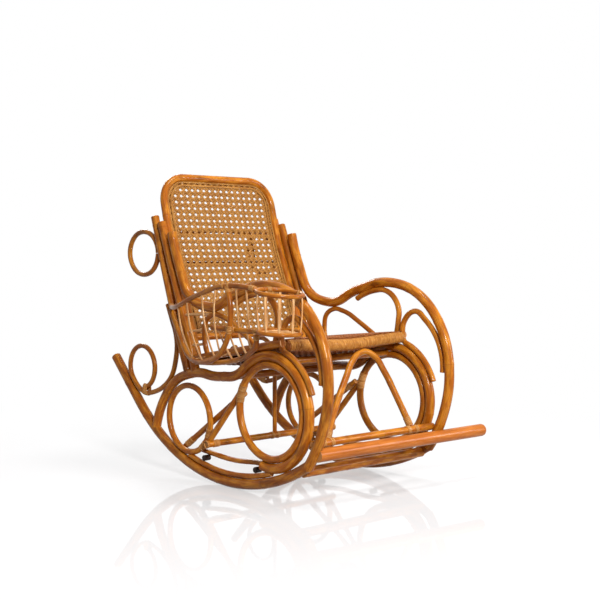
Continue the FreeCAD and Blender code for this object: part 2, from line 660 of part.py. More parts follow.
def back_cane(half_width, frame_room, panel_rail_room):
    """Woven cane inside the back frame, above the panel's rail, as a thin curved sheet."""
    profile, up = back_profile()
    top = Vector(0, *BACK_PROFILE[-1]) + up * BACK_CORNER
    line = profile + [Part.LineSegment(Vector(0, *BACK_PROFILE[-1]), top).toShape()]
    start = line[0].valueAt(line[0].FirstParameter)
    along = line[0].tangentAt(line[0].FirstParameter)
    square = along.cross(ALONG_X) * (CANE_THICKNESS / 2)
    section = Part.makePolygon([start - square - ALONG_X * half_width, start + square - ALONG_X * half_width,
                                start + square + ALONG_X * half_width, start - square + ALONG_X * half_width,
                                start - square - ALONG_X * half_width])
    sheet = Part.Wire(line).makePipeShell([section], True, True)
    below = Part.makeBox(FRAME_SPACING, FRAME_SPACING, PANEL_RAIL_Z, Vector(-FRAME_X, 0, 0))
    return coped(sheet, frame_room, panel_rail_room, below)


def back_parts():
    """Back panel and the bars behind it."""
    half_width = FRAME_X - BACK_POST_DIA / 2 - BACK_FRAME_DIA / 2 - FIT
    frame = back_frame_path(half_width)
    frame_room = room(frame, BACK_FRAME_DIA)
    panel_at = point_at_height(back_profile()[0], PANEL_RAIL_Z)
    panel_rail = cross_path((panel_at.y, panel_at.z), half_width)
    rear_rail = room(cross_path((SEAT_BACK_Y, seat_height(SEAT_BACK_Y)), FRAME_X), REAR_RAIL_DIA)
    uprights = frame_rooms(UPRIGHT_POINTS, UPRIGHT_DIA)
    bow = bend([Vector(-FRAME_X, *BOW_END), Vector(0, *BOW_CROWN), Vector(FRAME_X, *BOW_END)])
    rail = cross_path(BACK_RAIL_AT, FRAME_X)
    on_bow = min(Part.Wire(bow).discretize(Distance=1.0), key=lambda point: abs(point.x - STRUT_X))
    strut = bend([Vector(STRUT_X, *BACK_RAIL_AT), on_bow])
    return {
        "back_frame": Part.makeCompound([coped(pole(frame, BACK_FRAME_DIA), rear_rail),
                                         coped(pole(panel_rail, PANEL_RAIL_DIA), frame_room)]),
        "back_cane": back_cane(half_width, frame_room, room(panel_rail, PANEL_RAIL_DIA)),
        "back_bow": coped(pole(bow, BOW_DIA), *uprights),
        "back_rail": coped(pole(rail, BACK_RAIL_DIA), *uprights),
        "back_strut": coped(pole(strut, STRUT_DIA), room(bow, BOW_DIA), room(rail, BACK_RAIL_DIA)),
    }


def cup_centre(top):
    """Centre of the cup basket's upper or lower rim."""
    return in_frame(SIDES["right"], (CUP_Y, CUP_TOP_Z if top else CUP_LOW_Z), -CUP_OUT)


def cup_point(top, degrees):
    """Point on the cup basket's upper or lower rim at an angle about its centre."""
    radius = CUP_TOP_RADIUS if top else CUP_LOW_RADIUS
    tilt = math.radians(CUP_TOP_TILT if top else CUP_LOW_TILT)
    angle = math.radians(degrees)
    forward = Vector(0, math.cos(tilt), math.sin(tilt))
    offset = ALONG_X * (radius * math.cos(angle)) + forward * (radius * math.sin(angle))
    return cup_centre(top) + offset


def cup_rim(top, diameter):
    """Round rim of the cup basket, tilted a little to the front."""
    radius = CUP_TOP_RADIUS if top else CUP_LOW_RADIUS
    tilt = math.radians(CUP_TOP_TILT if top else CUP_LOW_TILT)
    axis = Vector(0, -math.sin(tilt), math.cos(tilt))
    return Part.makeTorus(radius, diameter / 2, cup_centre(top), axis)


def cup_parts():
    """Round cup basket: rims, upright spokes and base rods."""
    rim_rooms = [cup_rim(top, CUP_RIM_DIA + 2 * FIT) for top in (True, False)]
    arm_room = room(frame_bend(SIDES["right"], ARM_POINTS), ARM_DIA)
    spokes = []
    for index in range(CUP_SPOKES):
        angle = 2 * HALF_TURN * (index + CUP_SPOKE_PHASE) / CUP_SPOKES
        path = bend([cup_point(True, angle), cup_point(False, angle)])
        spokes.append(coped(pole(path, CUP_SPOKE_DIA), *rim_rooms, arm_room))
    for index in range(CUP_BASE_RODS):
        y_offset = (index - (CUP_BASE_RODS - 1) / 2) * CUP_BASE_PITCH
        start = math.degrees(math.asin(y_offset / CUP_LOW_RADIUS))
        path = bend([cup_point(False, start), cup_point(False, HALF_TURN - start)])
        spokes.append(coped(pole(path, CUP_SPOKE_DIA), rim_rooms[1]))
    rims = [coped(cup_rim(top, CUP_RIM_DIA), arm_room) for top in (True, False)]
    return {"cup_rims": Part.makeCompound(rims), "cup_spokes": Part.makeCompound(spokes)}


def bulged(start, end, bulge):
    """Path from start to end that bows outwards, away from the chair."""
    middle = (start + end) * 0.5 - ALONG_X * bulge
    return bend([start, middle, end])


def basket_bend(points):
    """Bent pole path of the basket, from points (distance out from the right side frame, y, z)."""
    return bend([in_frame(SIDES["right"], point[1:], -point[0]) for point in points])


def basket_parts():
    """Magazine basket: rim, hoops, rail, spokes and floor rods."""
    side = SIDES["right"]
    rim = basket_bend(BASKET_RIM)
    hoop = basket_bend(BASKET_HOOP)
    front_hoop = basket_bend(FRONT_HOOP)
    rail = basket_bend(BASKET_RAIL)
    rim_room = room(rim, BASKET_RIM_DIA)
    hoop_room = room(hoop, HOOP_DIA)
    front_hoop_room = room(front_hoop, FRONT_HOOP_DIA)
    rail_room = room(rail, BASKET_RAIL_DIA)
    upright_room = room(frame_bend(side, UPRIGHT_POINTS), UPRIGHT_DIA)
    seat_rail_room = room(side_rail_path(side), SIDE_RAIL_DIA)
    top_rim, low_rim = [cup_rim(top, CUP_RIM_DIA + 2 * FIT) for top in (True, False)]
    spokes = []
    for on_rim, on_hoop in BASKET_SPOKE_SHARES:
        path = bulged(point_along(rim, on_rim), point_along(hoop, on_hoop), SPOKE_BULGE)
        spokes.append(coped(pole(path, SPOKE_DIA), rim_room, hoop_room))
    rim_points = Part.Wire(rim).discretize(Distance=1.0)
    for y in RAIL_SPOKE_YS:
        start = min(rim_points, key=lambda point: abs(point.y - y))
        path = bend([start, in_frame(side, (y, BASKET_RAIL[1][2]), -BASKET_RAIL[1][0])])
        spokes.append(coped(pole(path, SPOKE_DIA), rim_room, rail_room))
    hoop_points = [point for point in Part.Wire(hoop).discretize(Distance=1.0) if point.z < CUP_LOW_Z]
    for y in FLOOR_ROD_YS:
        start = min(hoop_points, key=lambda point: abs(point.y - y))
        path = bend([start, in_frame(side, (y, seat_height(y)))])
        spokes.append(coped(pole(path, SPOKE_DIA), hoop_room, front_hoop_room, seat_rail_room))
    return {
        "basket_rim": coped(pole(rim, BASKET_RIM_DIA), upright_room, top_rim),
        "basket_hoop": coped(pole(hoop, HOOP_DIA), rim_room, upright_room),
        "basket_front_hoop": coped(pole(front_hoop, FRONT_HOOP_DIA), hoop_room, low_rim),
        "basket_rail": coped(pole(rail, BASKET_RAIL_DIA), hoop_room, low_rim),
        "basket_spokes": Part.makeCompound(spokes),
    }


def build():
    """All nodes of the chair by name."""
    nodes = {}
    for name, side in SIDES.items():
        for piece, shape in side_frame(side).items():
            nodes[piece + "_" + name] = shape
    nodes["spacer_pegs"] = spacer_pegs()
    nodes["dowel_pegs"] = dowel_pegs()
    nodes.update(seat_parts())
    nodes.update(cross_parts())
    nodes.update(back_parts())
    nodes.update(cup_parts())
    nodes.update(basket_parts())
    return nodes


os.makedirs("parts", exist_ok=True)
for node, shape in build().items():
    shape.exportStep(os.path.join("parts", node + ".step"))
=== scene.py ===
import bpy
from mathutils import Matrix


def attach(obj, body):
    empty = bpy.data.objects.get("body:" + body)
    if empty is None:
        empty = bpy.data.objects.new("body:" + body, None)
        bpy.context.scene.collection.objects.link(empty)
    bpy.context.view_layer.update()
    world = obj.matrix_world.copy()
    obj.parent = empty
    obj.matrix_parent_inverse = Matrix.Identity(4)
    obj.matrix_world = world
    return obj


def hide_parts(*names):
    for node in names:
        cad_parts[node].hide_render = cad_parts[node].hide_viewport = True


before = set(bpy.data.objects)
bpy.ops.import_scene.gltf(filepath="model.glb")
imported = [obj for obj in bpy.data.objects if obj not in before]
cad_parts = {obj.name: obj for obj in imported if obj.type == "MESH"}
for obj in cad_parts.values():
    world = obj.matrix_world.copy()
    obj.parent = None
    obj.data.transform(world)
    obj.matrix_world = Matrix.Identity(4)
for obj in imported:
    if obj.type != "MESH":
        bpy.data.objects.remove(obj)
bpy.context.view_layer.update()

import logging
import math
import zlib
from collections.abc import Sequence
from dataclasses import dataclass, field
from enum import Enum

import bpy
from mathutils import Vector

LOG = logging.getLogger("rocking_chair")

# Sizes are in millimetres, +Z up, the sitter looking along -Y; meshes are in metres.
MM = 0.001
FIT = 0.3
STEP = 4.0
FRAME_X = 275.0
ALONG_X = Vector((1.0, 0.0, 0.0))
UP = Vector((0.0, 0.0, 1.0))

Tree = bpy.types.NodeTree
Socket = bpy.types.NodeSocket
Place = tuple[float, float]
Point = tuple[float, float, float]
Path = list[Vector]


class Side(Enum):
    """Side frame of the chair, with the sign of its X; the basket hangs on the right one."""

    RIGHT = -1
    LEFT = 1


class End(Enum):
    """How a pole ends: rounded over in the open, or held inside what it is nailed to."""

    FREE = "free"
    HELD = "held"


class Section(Enum):
    """Cross-section of a sweep: a round pole or a flat strip of peel."""

    ROUND = "round_pole"
    FLAT = "flat_strip"


class Slot(Enum):
    """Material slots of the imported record."""

    POLE = "rattan_pole"
    RAIL = "wrapped_rail"
    SEAT = "woven_seat"
    CANE = "cane"
    FOOT = "foot_bar"
    PEG = "dark_peg"


def linear(code: str) -> tuple[float, float, float, float]:
    """Turn an sRGB hex colour into a linear one.

    Args:
        code: Colour as "#RRGGBB".

    Returns:
        Linear red, green, blue and an alpha of one.
    """
    parts = [int(code[place:place + 2], 16) / 255 for place in (1, 3, 5)]
    red, green, blue = [p / 12.92 if p <= 0.04045 else ((p + 0.055) / 1.055) ** 2.4 for p in parts]
    return red, green, blue, 1.0


def add_node(tree: Tree, kind: str, settings: dict | None = None,
             inputs: dict | None = None) -> bpy.types.Node:
    """Add a node with its settings, values and links.

    Args:
        tree: Node tree that gets the node.
        kind: Type of the node.
        settings: Properties of the node by name.
        inputs: Inputs by name or number, each a value or the output that it is linked to.

    Returns:
        The new node.
    """
    node = tree.nodes.new(kind)
    for name, value in (settings or {}).items():
        setattr(node, name, value)
    for name, value in (inputs or {}).items():
        if isinstance(value, Socket):
            tree.links.new(value, node.inputs[name])
        else:
            node.inputs[name].default_value = value
    return node


def calculate(tree: Tree, operation: str, *values: Socket | float) -> Socket:
    """Output of a new Math node with the given values."""
    return add_node(tree, "ShaderNodeMath", {"operation": operation}, dict(enumerate(values))).outputs[0]


def remap(tree: Tree, value: Socket, start: float, end: float, least: Socket | float = 0.0,
          most: float = 1.0, ease: str = "SMOOTHSTEP") -> Socket:
    """Output of a new Map Range node that leads start to least and end to most."""
    return add_node(tree, "ShaderNodeMapRange", {"interpolation_type": ease},
                    {0: value, 1: start, 2: end, 3: least, 4: most}).outputs[0]


def from_joint(tree: Tree, stretch: Socket) -> Socket:
    """Distance to the nearest growth joint, as a share of their spacing."""
    off = calculate(tree, "SUBTRACT", calculate(tree, "FRACT", stretch), 0.5)
    return calculate(tree, "ABSOLUTE", off)


def new_material(name: str) -> tuple[bpy.types.Material, Tree]:
    """Material without nodes.

    Args:
        name: Name of the material.

    Returns:
        The material and its node tree.
    """
    material = bpy.data.materials.new(name)
    material.use_nodes = True
    material.node_tree.nodes.clear()
    return material, material.node_tree


def new_object(name: str, data: bpy.types.ID) -> bpy.types.Object:
    """Object in the scene.

    Args:
        name: Name of the object.
        data: Mesh, lamp or camera.

    Returns:
        The object.
    """
    made = bpy.data.objects.new(name, data)
    bpy.context.scene.collection.objects.link(made)
    return made


def number_for(name: str) -> float:
    """Fixed number from 0 to 1 that belongs to a name."""
    return (zlib.crc32(name.encode()) % 9973) / 9973


# Paths of bent poles.

def polar(centre: Place, radius: float, degrees: float) -> Place:
    """Place (y, z) at an angle about a centre, counted from +Y towards +Z."""
    angle = math.radians(degrees)
    return centre[0] + radius * math.cos(angle), centre[1] + radius * math.sin(angle)


def heading(degrees: float) -> Vector:
    """Unit direction in the plane of a side frame, counted from +Y towards +Z."""
    return Vector((0, *polar((0, 0), 1.0, degrees)))


def in_frame(side: Side, place: Place, inset: float = 0.0) -> Vector:
    """Place (y, z) of a side frame as a point; inset moves it towards the middle of the chair."""
    return Vector((side.value * (FRAME_X - inset), place[0], place[1]))


def line(start: Vector, end: Vector) -> Path:
    """Points along a straight run, both ends among them."""
    count = max(1, round((end - start).length / STEP))
    return [start.lerp(end, index / count) for index in range(count + 1)]


def arc(start: Vector, tangent: Vector, end: Vector) -> Path:
    """Points along the arc that leaves a start in a direction and ends at an end.

    Args:
        start: First point.
        tangent: Unit direction at the start.
        end: Last point.

    Returns:
        The points, without the last one.
    """
    chord = end - start
    across = chord - tangent * chord.dot(tangent)
    if across.length < 1e-3:
        return line(start, end)[:-1]
    half = math.atan2(across.length, chord.dot(tangent))
    radius = chord.length / (2 * math.sin(half))
    count = max(2, round(2 * half * radius / STEP))
    turns = [2 * half * index / count for index in range(count)]
    across.normalize()
    return [start + tangent * (radius * math.sin(turn)) + across * (radius * (1 - math.cos(turn)))
            for turn in turns]


def arc_pair(start: Vector, leaving: Vector, end: Vector, arriving: Vector) -> Path:
    """Points along two arcs, tangent to each other, with a given direction at each end.

    Args:
        start: First point.
        leaving: Unit direction there.
        end: Last point.
        arriving: Unit direction there.

    Returns:
        The points, without the last one.
    """
    chord = end - start
    spread = 2 * (1 - leaving.dot(arriving))
    along = chord.dot(leaving + arriving)
    if spread < 1e-6:
        reach = chord.dot(chord) / (2 * along)
    else:
        reach = (math.sqrt(along ** 2 + spread * chord.dot(chord)) - along) / spread
    first = start + leaving * reach
    second = end - arriving * reach
    joint = (first + second) * 0.5
    return arc(start, leaving, joint) + arc(joint, (second - first).normalized(), end)


def bend(points: Sequence[Vector], leaving: Vector | None = None, arriving: Vector | None = None) -> Path:
    """Smooth run of tangent arcs through points, as a pole takes when it is bent over steam.

    Args:
        points: Points that the pole passes.
        leaving: Unit direction at the first point, where it is given.
        arriving: Unit direction at the last point, where it is given.

    Returns:
        Points along the run.
    """
    if len(points) == 2:
        return line(points[0], points[1])
    steps = [after - before for before, after in zip(points, points[1:])]
    inner = [(a / a.length_squared + b / b.length_squared).normalized() for a, b in zip(steps, steps[1:])]
    first, last = steps[0].normalized(), steps[-1].normalized()
    start = leaving or first * (2 * first.dot(inner[0])) - inner[0]
    end = arriving or last * (2 * last.dot(inner[-1])) - inner[-1]
    ways = [start] + inner + [end]
    path: Path = []
    for index in range(len(points) - 1):
        path += arc_pair(points[index], ways[index], points[index + 1], ways[index + 1])
    return path + [points[-1]]


def sweep_round(centre: Vector, right: Vector, up: Vector, radius: float, start: float, end: float) -> Path:
    """Points along a circle.

    Args:
        centre: Centre of the circle.
        right: Unit direction of angle 0.
        up: Unit direction of angle 90.
        radius: Radius of the circle.
        start: First angle in degrees.
        end: Last angle in degrees.

    Returns:
        The points, both ends among them.
    """
    count = max(6, round(abs(math.radians(end - start)) * radius / STEP))
    angles = [math.radians(start + (end - start) * index / count) for index in range(count + 1)]
    return [centre + right * (radius * math.cos(angle)) + up * (radius * math.sin(angle)) for angle in angles]


def frame_arc(side: Side, centre: Place, radius: float, start: float, end: float) -> Path:
    """Arc about a place (y, z) in a side frame."""
    return sweep_round(in_frame(side, centre), Vector((0, 1, 0)), UP, radius, start, end)


def nearest(path: Path, place: Vector) -> Vector:
    """Point of a path that is nearest to a place."""
    return min(path, key=lambda point: (point - place).length)


def level_with(path: Path, axis: str, value: float) -> Vector:
    """Point of a path whose x, y or z is nearest to a value."""
    return min(path, key=lambda point: abs(getattr(point, axis) - value))


def length_of(path: Path) -> float:
    """Length of a path."""
    return sum((after - before).length for before, after in zip(path, path[1:]))


def at_length(path: Path, length: float) -> tuple[Vector, Vector]:
    """Point and unit direction at a length along a path.

    Args:
        path: Points along the path.
        length: Length from its first point; what lies beyond an end is straight on.

    Returns:
        The point and the direction.
    """
    for before, after in zip(path, path[1:]):
        step = (after - before).length
        if length <= step:
            break
        length -= step
    else:
        length += step
    way = (after - before).normalized()
    return before + way * length, way


# Finishes.

# Distance between growth joints of the poles.
POLE_JOINT_SPACING = 165.0

# What all cane finishes share: the part of each noise over which one colour turns into the next, the
# strongest share of the grain, how much wider and longer a scorched blotch is than a patch, the levels
# of the dullest and the fullest pole, the depth of a joint line, and the varnish.
PATCH_TURNS = (0.36, 0.60)
GRAIN_TURNS = (0.45, 0.78)
BLOTCH_TURNS = (0.54, 0.74)
ROUGHNESS_TURNS = (0.3, 0.7)
GRAIN_SHARE = 0.75
BLOTCH_WIDER, BLOTCH_LONGER = 2.5, 1.7
TINT_LEVELS = (0.86, 1.12)
JOINT_DEPTH = -0.8
BUMP_HEIGHT = 0.4
VARNISH_IOR = 1.5
VARNISH_SPECULAR = 0.08
COAT_ROUGHNESS = 0.1


@dataclass(frozen=True)
class CaneFinish:
    """Finish of a pole or strip of rattan, whose grain follows the length of the piece."""

    name: str
    light: str
    middle: str
    dark: str
    joint: str
    grain_width: float
    grain_length: float
    patch_width: float
    patch_length: float
    scorch: float
    roughness: tuple[float, float]
    coat: float
    bump: float
    joint_shade: float = 0.2
    joint_width: float = 2.0

    def material(self) -> bpy.types.Material:
        """Make the material.

        Returns:
            Material that reads the attributes straight, stretch and tint of a swept piece.
        """
        material, tree = new_material(self.name)
        straight = add_node(tree, "ShaderNodeAttribute", {"attribute_name": "straight"}).outputs["Vector"]
        stretch = add_node(tree, "ShaderNodeAttribute", {"attribute_name": "stretch"}).outputs["Fac"]
        tint = add_node(tree, "ShaderNodeAttribute", {"attribute_name": "tint"}).outputs["Fac"]
        grain = self._noise(tree, straight, self.grain_width, self.grain_length)
        patch = self._noise(tree, straight, self.patch_width, self.patch_length)
        blotch = self._noise(tree, straight, BLOTCH_WIDER * self.patch_width,
                             BLOTCH_LONGER * self.patch_length)
        joint = remap(tree, from_joint(tree, stretch), 0.0, self.joint_width / POLE_JOINT_SPACING, 1.0, 0.0)
        shares = (
            (self.middle, patch, PATCH_TURNS, 1.0),
            (self.dark, grain, GRAIN_TURNS, GRAIN_SHARE),
            (self.dark, blotch, BLOTCH_TURNS, self.scorch),
            (self.joint, joint, (0.0, 1.0), self.joint_shade),
        )
        colour = linear(self.light)
        for code, value, turns, most in shares:
            share = remap(tree, value, *turns, 0.0, most)
            colour = add_node(tree, "ShaderNodeMix", {"data_type": "RGBA"},
                              {0: share, 6: colour, 7: linear(code)}).outputs[2]
        level = remap(tree, tint, 0.0, 1.0, *TINT_LEVELS, "LINEAR")
        tinted = add_node(tree, "ShaderNodeVectorMath", {"operation": "SCALE"}, {0: colour, "Scale": level})
        rough = remap(tree, patch, *ROUGHNESS_TURNS, *self.roughness, "LINEAR")
        height = calculate(tree, "MULTIPLY_ADD", joint, JOINT_DEPTH, grain)
        bump = add_node(tree, "ShaderNodeBump", None,
                        {"Strength": self.bump, "Distance": BUMP_HEIGHT * MM, "Height": height})
        shader = add_node(tree, "ShaderNodeBsdfPrincipled", None,
                          {"Base Color": tinted.outputs[0], "Roughness": rough, "IOR": VARNISH_IOR,
                           "Specular IOR Level": VARNISH_SPECULAR, "Coat Weight": self.coat,
                           "Coat Roughness": COAT_ROUGHNESS, "Normal": bump.outputs[0]})
        add_node(tree, "ShaderNodeOutputMaterial", None, {"Surface": shader.outputs[0]})
        return material

    def _noise(self, tree: Tree, place: Socket, width: float, length: float) -> Socket:
        """Noise drawn out along the piece.

        Args:
            tree: Tree of the material.
            place: Place on the straightened piece, in metres.
            width: Width of a streak in millimetres.
            length: Length of a streak in millimetres.

        Returns:
            Output with the noise's value.
        """
        stretch = Vector((1 / width, 1 / width, 1 / length)) / MM
        drawn = add_node(tree, "ShaderNodeVectorMath", {"operation": "MULTIPLY"}, {0: place, 1: stretch})
        noise = add_node(tree, "ShaderNodeTexNoise", None,
                         {"Vector": drawn.outputs[0], "Scale": 1.0, "Detail": 3.0, "Roughness": 0.55})
        return noise.outputs[0]


@dataclass(frozen=True)
class EndGrainFinish:
    """Sawn end of a rattan pole: pale pith full of open pores."""

    name: str
    pith: str
    pore: str
    pore_size: float
    wear_size: float
    roughness: float

    def material(self) -> bpy.types.Material:
        """Make the material.

        Returns:
            Material with pores on Object coordinates.
        """
        material, tree = new_material(self.name)
        place = add_node(tree, "ShaderNodeTexCoord").outputs["Object"]
        pores = add_node(tree, "ShaderNodeTexVoronoi", None,
                         {"Vector": place, "Scale": 1 / (self.pore_size * MM)})
        wear = add_node(tree, "ShaderNodeTexNoise", None,
                        {"Vector": place, "Scale": 1 / (self.wear_size * MM), "Detail": 3.0})
        hole = remap(tree, pores.outputs[0], 0.15, 0.4, 0.9, 0.0, "LINEAR")
        worn = calculate(tree, "MULTIPLY", hole, wear.outputs[0])
        colour = add_node(tree, "ShaderNodeMix", {"data_type": "RGBA"},
                          {0: worn, 6: linear(self.pith), 7: linear(self.pore)})
        bump = add_node(tree, "ShaderNodeBump", None,
                        {"Strength": 0.4, "Distance": 0.3 * MM, "Height": pores.outputs[0]})
        shader = add_node(tree, "ShaderNodeBsdfPrincipled", None,
                          {"Base Color": colour.outputs[2], "Roughness": self.roughness,
                           "Normal": bump.outputs[0]})
        add_node(tree, "ShaderNodeOutputMaterial", None, {"Surface": shader.outputs[0]})
        return material


# Rattan pole, skin left on, stained and varnished: golden brown that runs to dark brown where the
# flame scorched it, faint lines at the growth joints, and a gloss. The grain lines are really about
# 0.3 mm wide and are drawn four times as coarse, so that they show.
VARNISHED_RATTAN = CaneFinish(
    "varnished_rattan_pole", light="#C27A20", middle="#A0560E", dark="#4E2404", joint="#4A2008",
    grain_width=1.3, grain_length=55.0, patch_width=14.0, patch_length=60.0, scorch=0.58, joint_shade=0.3,
    joint_width=1.6, roughness=(0.28, 0.44), coat=0.16, bump=0.1)
# Split rattan peel under the same varnish, a shade more golden: the lashings.
SPLIT_PEEL = CaneFinish(
    "varnished_rattan_peel", light="#CC9656", middle="#B07438", dark="#74441A", joint="#5E3212",
    grain_width=1.0, grain_length=40.0, patch_width=12.0, patch_length=45.0, scorch=0.35,
    roughness=(0.32, 0.48), coat=0.15, bump=0.4)
# Split rattan left nearly unstained: the pale strips that stand in the two baskets.
PALE_PEEL = CaneFinish(
    "pale_rattan_strip", light="#E4B47E", middle="#CE945C", dark="#92602E", joint="#7A4A20",
    grain_width=1.0, grain_length=40.0, patch_width=12.0, patch_length=45.0, scorch=0.3,
    roughness=(0.32, 0.48), coat=0.2, bump=0.4)
# Rattan peel wound closely round the seat's front rail: straw gold with brown seams.
WOUND_PEEL = CaneFinish(
    "wound_rattan_peel", light="#C08640", middle="#A66B2D", dark="#683C12", joint="#70431A",
    grain_width=1.2, grain_length=16.0, patch_width=9.0, patch_length=20.0, scorch=0.45, joint_shade=0.0,
    roughness=(0.34, 0.5), coat=0.1, bump=0.3)
# Chair cane, the thin shiny outer skin of rattan, stained with the chair: golden tan with brown edges.
CHAIR_CANE = CaneFinish(
    "chair_cane", light="#B07C3C", middle="#94612A", dark="#5A3612", joint="#6E4220", grain_width=1.1,
    grain_length=30.0, patch_width=10.0, patch_length=40.0, scorch=0.3, roughness=(0.34, 0.5), coat=0.1,
    bump=0.3)
# Rattan core drawn into flat reed and varnished: the reddish brown, closely woven seat.
WOVEN_REED = CaneFinish(
    "woven_rattan_reed", light="#A8642E", middle="#884A1E", dark="#4E260E", joint="#5C3312",
    grain_width=1.0, grain_length=28.0, patch_width=9.0, patch_length=34.0, scorch=0.4,
    roughness=(0.36, 0.52), coat=0.1, bump=0.4)
# Peeled and sanded manau pole with a thick orange varnish: the foot bar, even and saturated.
SANDED_POLE = CaneFinish(
    "varnished_sanded_pole", light="#C8752C", middle="#B4621C", dark="#844210", joint="#8A4512",
    grain_width=1.4, grain_length=80.0, patch_width=20.0, patch_length=110.0, scorch=0.3, joint_width=2.4,
    roughness=(0.3, 0.4), coat=0.16, bump=0.15)
# Dark stained hardwood pegs: nearly black brown with a dull shine.
STAINED_PEG = CaneFinish(
    "stained_hardwood_peg", light="#2E1A0E", middle="#201008", dark="#120904", joint="#120904",
    grain_width=1.0, grain_length=25.0, patch_width=8.0, patch_length=20.0, scorch=0.4, joint_shade=0.0,
    roughness=(0.42, 0.55), coat=0.15, bump=0.3)
# Sawn end of a pole: the pores are about 0.4 mm across and are drawn three times as large.
SAWN_END = EndGrainFinish(
    "sawn_rattan_end", pith="#B57A3E", pore="#5E3412", pore_size=1.3, wear_size=9.0, roughness=0.6)


# Sweeping.

@dataclass
class Pole:
    """A bent pole or strip: its path and size in millimetres and how its ends are finished."""

    path: Path
    width: float
    start: End = End.HELD
    end: End = End.HELD
    rounding: float = 3.0
    facing: list[Vector] = field(default_factory=list)

    def rings(self) -> tuple[Path, list[float]]:
        """Points along the pole and the radius at each, with more of them round a free end.

        Returns:
            The points and the radii, in millimetres.
        """
        points = list(self.path)
        radii = [self.width / 2] * len(points)
        if self.start is End.FREE:
            points, radii = self._rounded(points, radii)
        if self.end is End.FREE:
            points, radii = self._rounded(points[::-1], radii[::-1])
            points, radii = points[::-1], radii[::-1]
        return points, radii

    def _rounded(self, points: Path, radii: list[float]) -> tuple[Path, list[float]]:
        """Round over the edge of the first end.

        Args:
            points: Points along the pole.
            radii: Radius at each point.

        Returns:
            Points and radii with the rounded end in front.
        """
        way = (points[1] - points[0]).normalized()
        kept = next(index for index, point in enumerate(points)
                    if (point - points[0]).length > 1.2 * self.rounding)
        angles = [math.radians(degrees) for degrees in (0, 20, 40, 65, 90)]
        ends = [points[0] + way * (self.rounding * (1 - math.cos(angle))) for angle in angles]
        edge = [radii[0] - self.rounding * (1 - math.sin(angle)) for angle in angles]
        return ends + points[kept:], edge + radii[kept:]


# Slow changes along a pole, in counts of growth joints: how far a joint's swelling reaches, and how fast
# the joints' spacing and the thickness drift.
SWELL_REACH = 0.055
DRIFT_SCALE = 0.6
WAVE_SCALE = 2.4

SWEEP_INPUTS = {"Sides": "Int", "Joint Spacing": "Float", "Joint Swell": "Float", "Unevenness": "Float",
                "Thickness Share": "Float", "Seed": "Float", "Skin": "Material", "Cut End": "Material"}


def stored(tree: Tree, name: str, kind: str = "FLOAT") -> Socket:
    """Output with a named attribute."""
    return add_node(tree, "GeometryNodeInputNamedAttribute", {"data_type": kind}, {"Name": name}).outputs[0]


def store(tree: Tree, geometry: Socket, name: str, value: Socket, kind: str = "FLOAT") -> Socket:
    """Output with a geometry that keeps a value at its points."""
    return add_node(tree, "GeometryNodeStoreNamedAttribute", {"data_type": kind, "domain": "POINT"},
                    {"Geometry": geometry, "Name": name, "Value": value}).outputs[0]


